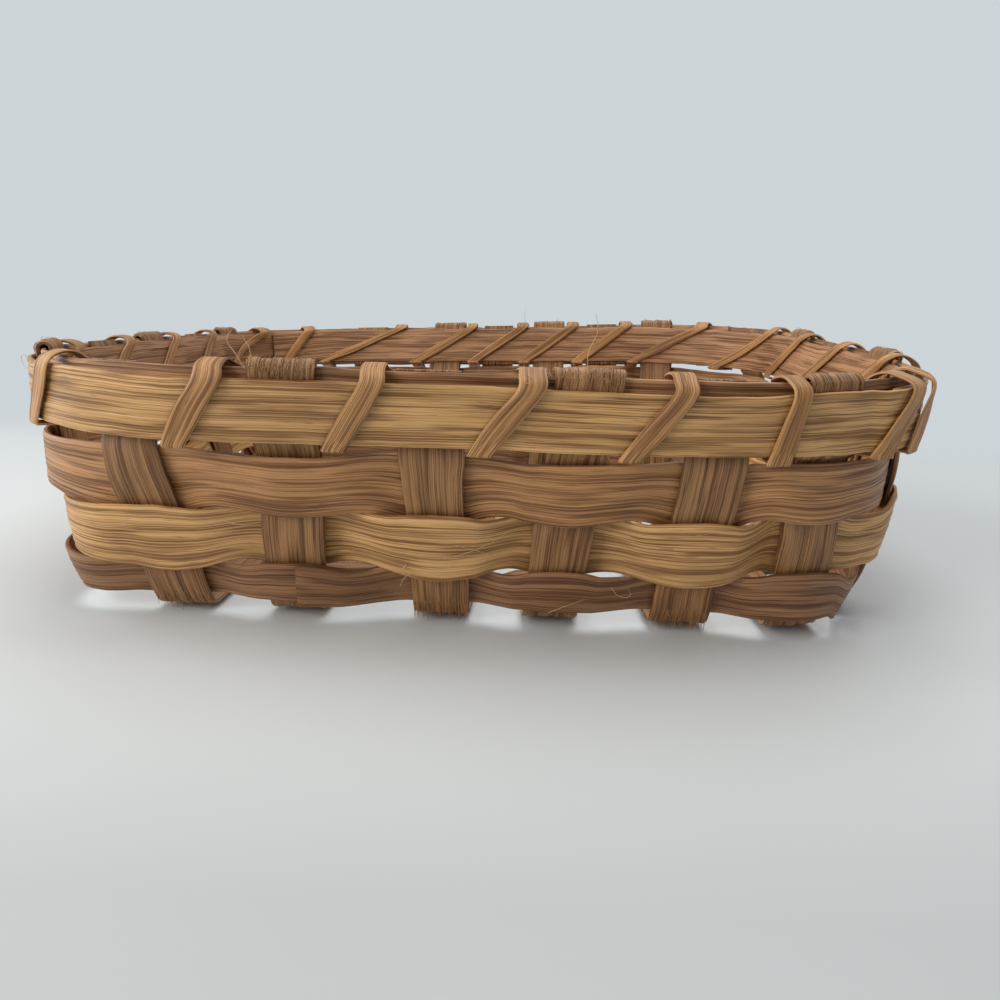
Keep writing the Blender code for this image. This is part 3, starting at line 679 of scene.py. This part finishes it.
def lash_turns(form):
    """Each turn's place under the hoops and over them, as distances round the rim."""
    turns = []
    width, hoop_low = form.sizes.lash_width, form.hoop_edges[0]
    half_band = width * BAND_SHARE
    for index in range(1, form.count + 1):
        start = form.stake_arc(index, hoop_low) + form.flat
        gap = form.stake_arc(index + 1, hoop_low) - form.flat - start
        for middle in LASH_PLACES.get(index % form.count, (0.5,)):
            room = gap * min(middle, 1 - middle) - half_band
            lean = min(max(room, 0.0), width) * LEAN_SHARE
            turns.append((start + gap * middle - lean, start + gap * middle + lean))
    return turns


def lash_loop(form, growth, outer_lap, inner_lap):
    """The lashing's path round the hoops, as offset and height."""
    (low, high), rim_high = form.hoop_edges, form.row_bands[RIM_ROW][1]
    bevel = growth * LASH_BEVEL
    outer = form.hoop_face + outer_lap * form.hoop_lap + growth
    inner = -form.hoop_face - inner_lap * form.hoop_lap - growth
    climb, above = low - growth + bevel, high + growth * LASH_ROUNDING
    drop = (above - climb) / LASH_STEPS
    shoulder = form.step / 2 + form.half + growth * LASH_ROUNDING
    return {
        "under": [(outer - bevel, low - growth)],
        "outside": [(outer, climb), (outer, (climb + above) / 2), (outer, above)],
        "over": [(shoulder, rim_high + growth), (-shoulder, rim_high + growth)],
        "inside": [(inner, above - drop * step) for step in range(LASH_STEPS + 1)],
        "back_under": [(inner + bevel, low - growth)],
    }


def lash_path(form):
    """The lines across the lashing strip, all the way round."""
    turns = lash_turns(form)
    places = [(turns[0][0], "inside", LASH_STEPS), (turns[0][0], "back_under", 0)]
    lap = form.side_middles(1.0)[4]
    for number, (low, high) in enumerate(turns):
        last = number + 1 == len(turns)
        following = turns[0][0] + lap if last else turns[number + 1][0]
        places.append((low, "under", 0))
        places += [(low + (high - low) * step / 2, "outside", step) for step in range(3)]
        places += [(high, "over", 0), (high, "over", 1)]
        steps = range(LASH_STEPS - 1 if last else LASH_STEPS + 1)
        places += [(high + (following - high) * step / LASH_STEPS, "inside", step) for step in steps]
        if not last:
            places.append((following, "back_under", 0))
    path = []
    hoop_low, hoop_height = form.hoop_edges[0], form.sizes.hoop_height
    growth = form.sizes.lash_clearance + form.sizes.lash_thickness / 2
    for number, (arc, stretch, step) in enumerate(places):
        before = places[max(number - 1, 0)][0]
        after = places[min(number + 1, len(places) - 1)][0]
        slant = min(abs(after - before) / hoop_height, 1.0)
        half_band = form.sizes.lash_width / 2 * math.sqrt(1 + slant**2)
        line = []
        for side in (-1, 0, 1):
            index, share = ring_place(form, arc + side * half_band, hoop_low)
            laps = [lap_swell(form, index, share, gap) for gap in (OUTER_HOOP_LAP, INNER_HOOP_LAP)]
            offset, z = lash_loop(form, growth, *laps)[stretch][step]
            line.append(form.ring_point(index, share, z, offset))
        path.append(line)
    return path


def resampled(path, spacing):
    """The path's lines on a smooth curve, closer together where it bends, with their distance along."""
    lines = np.array([[tuple(point) for point in line] for line in path])
    padded = np.concatenate([2 * lines[:1] - lines[1:2], lines, 2 * lines[-1:] - lines[-2:-1]])
    pieces = []
    for share in np.linspace(0, 1, CURVE_STEPS, endpoint=False):
        a, b, c, d = padded[:-3], padded[1:-2], padded[2:-1], padded[3:]
        cubic = 2 * b + (c - a) * share + (2 * a - 5 * b + 4 * c - d) * share**2
        pieces.append((cubic + (3 * b - a - 3 * c + d) * share**3) / 2)
    size = lines[0].size
    dense = np.stack(pieces, axis=1).reshape(-1, size)
    dense = np.concatenate([dense, lines[-1:].reshape(-1, size)])
    moves = np.diff(dense.reshape(-1, 3, 3)[:, 1], axis=0)
    steps = np.linalg.norm(moves, axis=1)
    ways = moves / (steps[:, None] + TINY)
    turns = np.arccos(np.clip((ways[1:] * ways[:-1]).sum(axis=1), -1, 1))
    turns = np.concatenate([[0.0], turns])
    run = np.concatenate([[0.0], np.cumsum(steps)])
    pace = np.concatenate([[0.0], np.cumsum(steps + turns * BEND_ROOM)])
    count = max(int(pace[-1] / spacing), 4)
    wanted = np.linspace(0, pace[-1], count + 1)
    even = np.stack([np.interp(wanted, pace, dense[:, i]) for i in range(size)], axis=1)
    bends = np.convolve(turns / (steps + TINY), np.ones(BEND_SPAN) / BEND_SPAN, "same")
    bend = np.interp(wanted, pace[1:], bends)
    return even.reshape(-1, 3, 3), np.interp(wanted, pace, run), bend


def wander(random, count, reach):
    """A smooth random line of about -1 to 1, with features about that many steps long."""
    knots = random.normal(size=max(int(count / reach), 2) + 3)
    places = np.linspace(0, len(knots) - SPARE_KNOTS, count)
    low = places.astype(int)
    share = places - low
    share = share * share * (3 - 2 * share)
    return knots[low] * (1 - share) + knots[low + 1] * share


def ridges(random, rows, columns):
    """Heights of the fibres of a strip, about -1 to 1. They change slowly along it."""
    lines = random.normal(size=columns)
    drift, fine = (
        np.stack([wander(random, rows, reach) for _ in range(columns)], axis=1) for reach in RIDGE_REACHES
    )
    steady, slow, quick = RIDGE_SHARES
    return steady * lines[None, :] + slow * drift + quick * fine


def bent_grid(name, lines, run, fray, looks, columns, ridge, random, shift):
    """A flat grid bent along the lines, ridged along its fibres and ragged at its edges."""
    rows = len(lines)
    mesh = bmesh.new()
    for layer in ("UVMap", "fray"):
        mesh.loops.layers.uv.new(layer)
    bmesh.ops.create_grid(mesh, x_segments=columns, y_segments=rows - 1, size=0.5, calc_uvs=True)
    data = bpy.data.meshes.new(name)
    mesh.to_mesh(data)
    mesh.free()

    flat = np.empty(len(data.vertices) * 3)
    data.vertices.foreach_get("co", flat)
    flat = flat.reshape(-1, 3)
    share, along = flat[:, 0] + 0.5, flat[:, 1] + 0.5
    row = np.rint(along * (rows - 1)).astype(int)
    column = np.rint(share * columns).astype(int)
    width = np.linalg.norm(lines[:, 2] - lines[:, 0], axis=1).mean()
    waver = looks.waver / width
    slow, quick = WAVER_REACHES
    edges = [wander(random, rows, slow) + wander(random, rows, quick) * WAVER_SHARE for _ in range(2)]
    across = share + waver * ((1 - share) * edges[0][row] - share * edges[1][row])
    low, middle, high = lines[row, 0], lines[row, 1], lines[row, 2]
    a = across[:, None]
    points = low * (2 * a - 1) * (a - 1) + middle * 4 * a * (1 - a) + high * a * (2 * a - 1)
    tangent = np.gradient(lines[:, 1], axis=0)[row]
    sideways = low * (4 * a - 3) + middle * (4 - 8 * a) + high * (4 * a - 1)
    normal = np.cross(tangent, sideways)
    normal /= np.linalg.norm(normal, axis=1, keepdims=True) + LEAST
    height = ridges(random, rows, columns + 1)[row, column] * ridge * (1 + fray[row] * FRAY_RIDGES)
    points += normal * height[:, None]
    data.vertices.foreach_set("co", points.ravel())

    corner = np.empty(len(data.loops), dtype=np.int32)
    data.loops.foreach_get("vertex_index", corner)
    values = np.stack([run[row[corner]], share[corner] * width + shift], axis=1)
    data.uv_layers["UVMap"].uv.foreach_set("vector", values.ravel())
    values = np.stack([fray[row[corner]], share[corner]], axis=1)
    data.uv_layers["fray"].uv.foreach_set("vector", values.ravel())
    return data, normal


def thin_edges(rim, share):
    """A strip thins out towards its edges. The rim is the faces between its two sides."""
    for edge in {edge for face in rim for edge in face.edges}:
        if all(face in rim for face in edge.link_faces):
            near, far = (vertex.co.copy() for vertex in edge.verts)
            edge.verts[0].co = near.lerp(far, share)
            edge.verts[1].co = far.lerp(near, share)


def strip(form, verb, node, path, wood, seed, thickness=None, columns=None, ridge_share=1.0):
    """One strip of wood: a grid bent along its path, given its thickness and rounded edges."""
    looks, name = form.looks, f"{verb}_{node}"
    thickness = thickness or form.sizes.splint_thickness
    random = np.random.default_rng(seed)
    lines, run, bend = resampled(path, looks.spacing)
    fray = np.clip((bend - FRAY_BEND) / FRAY_BEND, 0.0, 1.0)
    ridge, shift = looks.ridge * ridge_share, seed * MAP_SHIFT
    data, normal = bent_grid(name, lines, run, fray, looks, columns or looks.columns, ridge, random, shift)

    mesh = bmesh.new()
    mesh.from_mesh(data)
    mark = mesh.verts.layers.int.new("mark")
    for number, (vertex, away) in enumerate(zip(mesh.verts, normal)):
        vertex[mark] = number
        vertex.co += Vector(away) * (thickness / 2)
    made = bmesh.ops.extrude_face_region(mesh, geom=mesh.faces[:], use_keep_orig=True)["geom"]
    for vertex in made:
        if isinstance(vertex, bmesh.types.BMVert):
            vertex.co -= Vector(normal[vertex[mark]]) * thickness
    far_side = {face for face in made if isinstance(face, bmesh.types.BMFace)}
    rim = {face for face in mesh.faces if face not in far_side and len({v[mark] for v in face.verts}) == 2}
    thin_edges(rim, looks.edge_round / thickness)
    mesh.verts.layers.int.remove(mark)
    bmesh.ops.recalc_face_normals(mesh, faces=mesh.faces)
    mesh.to_mesh(data)
    mesh.free()
    data.shade_smooth()
    data.set_sharp_from_angle(angle=SHARP_ANGLE)
    piece = finished(name, data, wood)
    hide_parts(node)


def finished(name, data, material):
    """The object of a piece's finished mesh or curve."""
    data.materials.append(material)
    piece = bpy.data.objects.new(name, data)
    bpy.context.collection.objects.link(piece)
    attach(piece, "root")
    return piece


class Nodes:
    """A node tree in the making."""

    def __init__(self, tree):
        self.tree = tree

    def put(self, socket, source):
        """Gives a socket its value, or links the output that feeds it."""
        if isinstance(source, bpy.types.NodeSocket):
            self.tree.links.new(source, socket)
        else:
            socket.default_value = source

    def new(self, kind, inputs=None, **settings):
        """A node to the right of the last one, with its settings and a source for each input."""
        made = self.tree.nodes.new(kind)
        made.location.x = NODE_DISTANCE * len(self.tree.nodes)
        for key, value in settings.items():
            setattr(made, key, value)
        for key, source in (inputs or {}).items():
            self.put(made.inputs[key], source)
        return made

    def math(self, kind, first, second, clamp=False):
        return self.new("ShaderNodeMath", {0: first, 1: second}, operation=kind, use_clamp=clamp).outputs[0]

    def between(self, source, low, high, to_low=0.0, to_high=1.0, way="SMOOTHSTEP"):
        """A value stretched so that low becomes to_low and high becomes to_high."""
        inputs = {"Value": source, "From Min": low, "From Max": high, "To Min": to_low, "To Max": to_high}
        return self.new("ShaderNodeMapRange", inputs, interpolation_type=way).outputs["Result"]

    def mix(self, factor, first, second, kind="MIX"):
        """Two colours blended. A plain one is given as its red, green and blue."""
        first, second = ((*each, 1.0) if isinstance(each, tuple) else each for each in (first, second))
        inputs = {0: factor, FIRST_COLOUR: first, SECOND_COLOUR: second}
        made = self.new("ShaderNodeMix", inputs, data_type="RGBA", blend_type=kind)
        return made.outputs[MIXED_COLOUR]

    def blend(self, factor, first, second, end):
        """Two shaders blended, and given to the tree's end node."""
        mixed = self.new("ShaderNodeMixShader", {0: factor, 1: first, 2: second}).outputs[0]
        self.put(self.tree.nodes[end].inputs["Surface"], mixed)

    def seen(self):
        """1 for what the camera sees, also in a reflection or through glass, and 0 for what lights."""
        path = self.new("ShaderNodeLightPath").outputs
        seen = self.math("MAXIMUM", path["Is Camera Ray"], path["Is Glossy Ray"])
        return self.math("MAXIMUM", seen, path["Is Transmission Ray"])


class Surface(Nodes):
    """A material in the making, plain until its nodes are linked."""

    def __init__(self, name, base, roughness):
        self.material = bpy.data.materials.new(name)
        self.material.use_nodes = True
        super().__init__(self.material.node_tree)
        self.shader = self.tree.nodes["Principled BSDF"]
        self.give("Base Color", (*base, 1.0))
        self.give("Roughness", roughness)

    def give(self, key, source):
        self.put(self.shader.inputs[key], source)

    def place(self):
        return self.new("ShaderNodeTexCoord").outputs["Object"]


class Wood(Surface):
    """A wood whose fibres run along the strips."""

    def __init__(self, name, base, roughness):
        super().__init__(name, base, roughness)
        self.strip_map = self.new("ShaderNodeUVMap", uv_map="UVMap").outputs[0]

    def pattern(self, kind, along, across, shift, inputs, **settings):
        """A pattern stretched along the strip, with so many features per metre along and across it."""
        mapping = {0: self.strip_map, "Location": (shift, shift, 0.0), "Scale": (along, across, 1.0)}
        place = self.new("ShaderNodeMapping", mapping).outputs[0]
        return self.new(kind, {"Vector": place, "Scale": 1.0, **inputs}, **settings).outputs

    def fibres(self, along, across, detail, shift):
        inputs = {"Detail": detail, "Roughness": FIBRE_ROUGHNESS}
        return self.pattern("ShaderNodeTexNoise", along, across, shift, inputs, noise_dimensions="2D")[0]

    def threads(self, feature, output):
        """Long narrow cells: each has a Color of its own, and their Distance is 0 between two of them."""
        settings = {"voronoi_dimensions": "2D", "feature": feature}
        return self.pattern("ShaderNodeTexVoronoi", *THREADS, 0.0, {}, **settings)[output]

    def lines(self, along, across, shift, width):
        """Thin lines along the strip, 1 on a line and 0 beside it."""
        noise = self.fibres(along, across, 1.0, shift)
        centred = self.math("ABSOLUTE", self.math("SUBTRACT", noise, 0.5), 0.0)
        return self.between(centred, 0.0, width, 1.0, 0.0)

    def product(self, *parts):
        """Several values multiplied."""
        total = parts[0]
        for part in parts[1:]:
            total = self.math("MULTIPLY", total, part)
        return total


def tinted(base, shares):
    return tuple(min(channel * share, 1.0) for channel, share in zip(base, shares))


def splint_wood(name, base, contrast=1.0, roughness=0.5):
    """Split wood: threads, thin dark lines, thin pale lines that are painted highlights along the fibres,
    short flecks and slow changes of tone.
    """
    wood = Wood(name, base, roughness)
    wood.give("Specular IOR Level", WOOD_SPECULAR)
    light, pale = tinted(base, LIGHT_SHARES), tinted(base, PALE_SHARES)
    dark, deep = tinted(base, DARK_SHARES), tinted(base, DEEP_SHARES)

    coarse = wood.product(wood.fibres(*COARSE_FIBRES), COARSE_SHARE)
    fine = wood.product(wood.fibres(*FINE_FIBRES), FINE_SHARE)
    threads = wood.product(wood.threads("F1", "Color"), THREAD_SHARE)
    grain = wood.math("ADD", wood.math("ADD", coarse, fine), threads)
    spread = TONE_SPREAD / contrast
    colour = wood.mix(wood.between(grain, 0.5 - spread, 0.5 + spread), dark, light)

    patches = wood.fibres(*PATCHES)
    dark_lines = wood.product(wood.lines(*DARK_LINES), wood.between(patches, *DARK_PATCHES))
    seams = wood.between(wood.threads("DISTANCE_TO_EDGE", "Distance"), 0.0, SEAM_WIDTH, 1.0, 0.0)
    dark_lines, seams = wood.product(dark_lines, DARK_LINE_SHARE * contrast), wood.product(seams, SEAM_SHARE)
    darkness = wood.math("ADD", dark_lines, seams, clamp=True)
    colour = wood.mix(darkness, colour, deep)
    # Painted highlights: thin pale lines along the fibres, where glossy fibres would catch the light.
    painted_highlights = wood.product(wood.lines(*HIGHLIGHT_LINES), wood.between(patches, *HIGHLIGHT_PATCHES))
    colour = wood.mix(wood.product(painted_highlights, HIGHLIGHT_LINE_SHARE * contrast), colour, pale)
    flecks = wood.between(wood.fibres(*FLECKS), *FLECK_RANGE)
    colour = wood.mix(wood.product(flecks, FLECK_SHARE), colour, deep)
    cast = wood.mix(wood.between(wood.fibres(*SLOW_TONE), *SLOW_RANGE), *CAST_SHARES)
    colour = wood.mix(CAST_STRENGTH, colour, cast, "MULTIPLY")

    fray = wood.new("ShaderNodeUVMap", uv_map="fray").outputs[0]
    fray = wood.new("ShaderNodeSeparateXYZ", {0: fray}).outputs["X"]
    torn = wood.fibres(*TORN_FIBRES)
    for ends, share, tone in ((TORN_RANGE, TORN_SHARE, pale), (SPLIT_RANGE, SPLIT_SHARE, deep)):
        frayed = wood.product(fray, wood.between(torn, *ends), share)
        colour = wood.mix(frayed, colour, tone)
    wood.give("Base Color", colour)

    height = wood.math("SUBTRACT", grain, wood.product(darkness, SEAM_DEPTH))
    bump = {"Height": height, "Strength": BUMP_STRENGTH, "Distance": BUMP_DISTANCE}
    wood.give("Normal", wood.new("ShaderNodeBump", bump).outputs[0])
    gloss = wood.between(grain, *GLOSS_RANGE, roughness + DULLER, roughness - GLOSSIER)
    wood.give("Roughness", gloss)
    return wood.material


def fibre_material(name, base):
    """Loose fibres, each a little lighter or darker than the next."""
    hair = Surface(name, base, HAIR_ROUGHNESS)
    noise = hair.new("ShaderNodeTexNoise", {"Vector": hair.place(), "Scale": HAIR_TONES}).outputs[0]
    hair.give("Base Color", hair.mix(noise, tinted(base, DARK_HAIR_SHARES), tinted(base, LIGHT_HAIR_SHARES)))
    return hair.material


def floor_material(looks):
    """The table is a little darker in front, with painted shade, and turns to the backdrop's colour far from
    the basket.
    """
    table = Surface("floor_surface", tuple(looks.floor_colour), FLOOR_ROUGHNESS)
    place = table.place()
    depth = table.new("ShaderNodeSeparateXYZ", {0: place}).outputs["Y"]
    # Painted shade: the floor is darker in front, as if the light fell off towards the camera.
    near = tinted(looks.floor_colour, FLOOR_SHADE_SHARES)
    shade = table.between(depth, *FLOOR_SHADE_SPAN, way="LINEAR")
    table.give("Base Color", table.mix(shade, near, tuple(looks.floor_colour)))
    reach = table.new("ShaderNodeVectorMath", {0: place}, operation="LENGTH").outputs["Value"]
    far = table.math("MAXIMUM", table.between(depth, *FAR_FLOOR), table.between(reach, *FAR_ROUND))
    glow = table.new("ShaderNodeEmission", {0: (*looks.backdrop_colour, 1.0)}).outputs[0]
    shown = table.math("MULTIPLY", far, table.seen())
    table.blend(shown, table.shader.outputs[0], glow, "Material Output")
    return table.material


class Step:
    """What every piece's button shares."""

    bl_options = {"REGISTER", "UNDO"}

    @staticmethod
    def form():
        scene = bpy.context.scene
        return Form(scene.basket_sizes, scene.basket_looks)


class BASKET_OT_long_splints(Step, bpy.types.Operator):
    """Makes the splints that run front to back"""

    bl_idname = "basket.long_splints"
    bl_label = "Long splints"

    def execute(self, context):
        form = self.form()
        wood = splint_wood("stake_wood", tuple(form.looks.stake_colour))
        for number in range(len(FRONT_RIM_SHARES)):
            path, node = long_splint_path(form, number), f"long_splint_{number + 1}"
            strip(form, "woven", node, path, wood, LONG_SEED + number)
        return {"FINISHED"}


class BASKET_OT_cross_splints(Step, bpy.types.Operator):
    """Makes the splints that run left to right"""

    bl_idname = "basket.cross_splints"
    bl_label = "Cross splints"

    def execute(self, context):
        form = self.form()
        wood = splint_wood("cross_wood", tuple(form.looks.stake_colour))
        for number in range(len(LEFT_RIM_SHARES)):
            path, node = cross_splint_path(form, number), f"cross_splint_{number + 1}"
            strip(form, "woven", node, path, wood, CROSS_SEED + number)
        return {"FINISHED"}


class BASKET_OT_weavers(Step, bpy.types.Operator):
    """Makes the three rows of weaver round the walls"""

    bl_idname = "basket.weavers"
    bl_label = "Weavers"

    def execute(self, context):
        form = self.form()
        for node, row, wood_name, colour, slot in (
            # The bottom row's darker colour is partly its own tone and partly painted shade.
            ("bottom_weaver", BOTTOM_ROW, "low_weaver_wood", form.looks.low_colour, "dark_weaver"),
            ("middle_weaver", MIDDLE_ROW, "pale_weaver_wood", form.looks.pale_colour, "pale_weaver"),
            ("top_weaver", TOP_ROW, "dark_weaver_wood", form.looks.dark_colour, "dark_weaver"),
        ):
            wood = splint_wood(wood_name, tuple(colour))
            strip(form, "woven", node, weaver_path(form, row), wood, ROW_SEED + row)
        return {"FINISHED"}


class BASKET_OT_rim(Step, bpy.types.Operator):
    """Makes the rim row and the two hoops that clasp it"""

    bl_idname = "basket.rim"
    bl_label = "Rim"

    def execute(self, context):
        form = self.form()
        hoop = splint_wood("outer_hoop_wood", tuple(form.looks.hoop_colour), roughness=HOOP_ROUGHNESS)
        inner = splint_wood("inner_hoop_wood", tuple(form.looks.inner_colour))
        start, shift = LAP_STARTS[RIM_ROW], form.step / 2
        path = hoop_path(form, start, 0.0, -shift, shift, form.row_bands[RIM_ROW])
        strip(form, "bent", "rim_row", path, inner, HOOP_SEED + start)
        for node, start, sign, wood, slot in (
            ("outer_hoop", OUTER_HOOP_LAP, 1, hoop, "pale_weaver"),
            ("inner_hoop", INNER_HOOP_LAP, -1, inner, "dark_weaver"),
        ):
            path = hoop_path(form, start, sign * form.hoop_place, 0.0, sign * form.hoop_lap, form.hoop_edges)
            strip(form, "bent", node, path, wood, HOOP_SEED + start, form.sizes.hoop_thickness)
        return {"FINISHED"}


class BASKET_OT_lashing(Step, bpy.types.Operator):
    """Winds the narrow strip round the hoops"""

    bl_idname = "basket.lashing"
    bl_label = "Lashing"

    def execute(self, context):
        form = self.form()
        wood = splint_wood("lashing_wood", tuple(form.looks.lash_colour), contrast=LASH_CONTRAST)
        strip(
            form, "wound", "rim_lashing", lash_path(form), wood, LASH_SEED,
            form.sizes.lash_thickness, LASH_COLUMNS, LASH_RIDGE_SHARE,
        )
        return {"FINISHED"}


def fold_fibre(form, random, index):
    """One broken fibre over a stake's fold. Some of them have sprung up."""
    rim_high = form.row_bands[RIM_ROW][1]
    across = random.uniform(-FOLD_REACH, FOLD_REACH) * form.sizes.splint_width / 2
    start, turn = random.uniform(*FOLD_STARTS), random.uniform(*FOLD_TURNS)
    lift = random.uniform(0.0, FOLD_LIFT)
    spring = max(random.normal(*FOLD_SPRING), 0.0)
    lean = random.normal(0.0, FOLD_LEAN)
    fibre = []
    for step in range(FIBRE_STEPS + 1):
        share = step / FIBRE_STEPS
        angle = start + turn * share
        radius = form.step + form.half + lift + spring * share**2
        bent = max(angle, 0.0)
        z = rim_high + radius * form.upright * (math.sin(bent) + min(angle, 0.0))
        arc = form.stake_arc(index, z) + across + lean * step
        fibre.append(form.wall_point(arc, z, radius * math.cos(bent)))
    return fibre


def bend_fibre(form, random, index):
    """One fibre that broke where a stake bends under the base. It points down past the bend."""
    across = random.uniform(-BEND_REACH, BEND_REACH) * form.sizes.splint_width / 2
    top = form.row_bands[BOTTOM_ROW][0] + random.uniform(0.0, BEND_TOP)
    tip, out = random.uniform(*BEND_TIPS), random.uniform(*BEND_OUTS)
    lean = random.normal(0.0, BEND_LEAN)
    fibre = []
    for step in range(FIBRE_STEPS + 1):
        share = step / FIBRE_STEPS
        z = top + (tip - top) * share
        offset = form.half + BEND_CLEARANCE + out * share**2
        arc = form.stake_arc(index, max(z, form.base_level)) + across + lean * step
        fibre.append(form.wall_point(arc, z, offset))
    return fibre


def bundle(name, fibres, material, radius, steps):
    """Fibres as one piece, each a thin square thread that tapers to its tip."""
    curve = bpy.data.curves.new(name, "CURVE")
    curve.dimensions = "3D"
    curve.bevel_depth = radius
    curve.bevel_resolution = 0
    curve.resolution_u = steps
    curve.use_fill_caps = True
    for fibre in fibres:
        spline = curve.splines.new("BEZIER")
        spline.bezier_points.add(len(fibre) - 1)
        for number, (point, place) in enumerate(zip(spline.bezier_points, fibre)):
            point.co = place
            point.handle_left_type = point.handle_right_type = "AUTO"
            point.radius = 1.0 - TIP_TAPER * number / (len(fibre) - 1)
    finished(name, curve, material)


class BASKET_OT_fibres(Step, bpy.types.Operator):
    """Adds the broken and loose fibres"""

    bl_idname = "basket.fibres"
    bl_label = "Fibres"

    def execute(self, context):
        form, looks = self.form(), context.scene.basket_looks
        random = np.random.default_rng(FIBRE_SEED)
        broken = []
        for counts, fibre in ((FRAYED_FOLDS, fold_fibre), (FRAYED_BENDS, bend_fibre)):
            for stake, count in counts.items():
                broken += [fibre(form, random, stake) for _ in range(count)]
        broken_wood = fibre_material("broken_fibre_wood", tinted(looks.stake_colour, BROKEN_SHARES))
        bundle("broken_fibres", broken, broken_wood, looks.hair_radius, BROKEN_STEPS)
        loose = [[form.ring_point(*place) for place in fibre] for fibre in LOOSE_FIBRES]
        loose_wood = fibre_material("loose_fibre_wood", tuple(looks.hair_colour))
        bundle("loose_fibres", loose, loose_wood, looks.hair_radius, LOOSE_STEPS)
        return {"FINISHED"}


class BASKET_OT_stage(Step, bpy.types.Operator):
    """Sets the floor, the lamps and the camera"""

    bl_idname = "basket.stage"
    bl_label = "Stage"

    def execute(self, context):
        looks = context.scene.basket_looks
        self.floor(looks)
        self.camera()
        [self.lamp(*lamp) for lamp in LAMPS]
        self.world(context.scene, looks)
        context.scene.view_settings.view_transform = "Standard"
        return {"FINISHED"}

    def placed(self, name, data):
        made = bpy.data.objects.new(name, data)
        bpy.context.collection.objects.link(made)
        return made

    def floor(self, looks):
        mesh = bmesh.new()
        bmesh.ops.create_grid(mesh, x_segments=1, y_segments=1, size=FLOOR_HALF)
        data = bpy.data.meshes.new("floor")
        mesh.to_mesh(data)
        mesh.free()
        data.materials.append(floor_material(looks))
        return self.placed("floor", data)

    def lamp(self, name, place, size, power, tint):
        """A square lamp that points at the middle of the table."""
        data = bpy.data.lights.new(name, "AREA")
        data.shape = "SQUARE"
        data.size = size
        data.energy = power
        data.color = tint
        made = self.placed(name, data)
        made.location = place
        made.rotation_euler = (-Vector(place)).to_track_quat("-Z", "Y").to_euler()
        return made

    def camera(self):
        """A phone held close to the front wall, a little above the rim."""
        yaw, pitch, roll = (math.radians(angle) for angle in CAMERA_TURNS)
        forward = Vector((math.sin(yaw) * math.cos(pitch), math.cos(yaw) * math.cos(pitch), -math.sin(pitch)))
        right = Vector((math.cos(yaw), -math.sin(yaw), 0.0))
        up = right.cross(forward)
        tilted_right = right * math.cos(roll) + up * math.sin(roll)
        tilted_up = up * math.cos(roll) - right * math.sin(roll)
        data = bpy.data.cameras.new("camera")
        data.sensor_width, data.lens = CAMERA_SENSOR, CAMERA_LENS
        data.clip_start = NEAREST
        made = self.placed("camera", data)
        turn = Matrix((tilted_right, tilted_up, -forward)).transposed().to_4x4()
        made.matrix_world = Matrix.Translation(CAMERA_PLACE) @ turn
        bpy.context.scene.camera = made
        return made

    def world(self, scene, looks):
        """Soft light all round, and behind the basket the plain pale backdrop."""
        scene.world = scene.world or bpy.data.worlds.new("pale_room")
        scene.world.use_nodes = True
        room = Nodes(scene.world.node_tree)
        sky = room.tree.nodes["Background"]
        room.put(sky.inputs[0], (*SKY_TINT, 1.0))
        room.put(sky.inputs[1], SKY_STRENGTH)
        backdrop = room.new("ShaderNodeBackground", {0: (*looks.backdrop_colour, 1.0)}).outputs[0]
        room.blend(room.seen(), sky.outputs[0], backdrop, "World Output")


OPERATORS = (
    BASKET_OT_long_splints,
    BASKET_OT_cross_splints,
    BASKET_OT_weavers,
    BASKET_OT_rim,
    BASKET_OT_lashing,
    BASKET_OT_fibres,
    BASKET_OT_stage,
)


class BASKET_PT_panel(bpy.types.Panel):
    """Lists the basket's pieces"""

    bl_idname = "BASKET_PT_panel"
    bl_label = "Berry Basket"
    bl_space_type = "VIEW_3D"
    bl_region_type = "UI"
    bl_category = "Basket"

    def draw(self, context):
        for operator in OPERATORS:
            self.layout.operator(operator.bl_idname)
        for group in (context.scene.basket_sizes, context.scene.basket_looks):
            box = self.layout.box()
            for key in group.__annotations__:
                box.prop(group, key)


CLASSES = (BasketSizes, BasketLooks, *OPERATORS, BASKET_PT_panel)


def register():
    for made in CLASSES:
        bpy.utils.register_class(made)
    bpy.types.Scene.basket_sizes = PointerProperty(type=BasketSizes)
    bpy.types.Scene.basket_looks = PointerProperty(type=BasketLooks)


def unregister():
    del bpy.types.Scene.basket_looks
    del bpy.types.Scene.basket_sizes
    for made in reversed(CLASSES):
        bpy.utils.unregister_class(made)


def main():
    register()
    for operator in OPERATORS:
        group, name = operator.bl_idname.split(".")
        getattr(getattr(bpy.ops, group), name)()


if __name__ == "__main__":
    main()
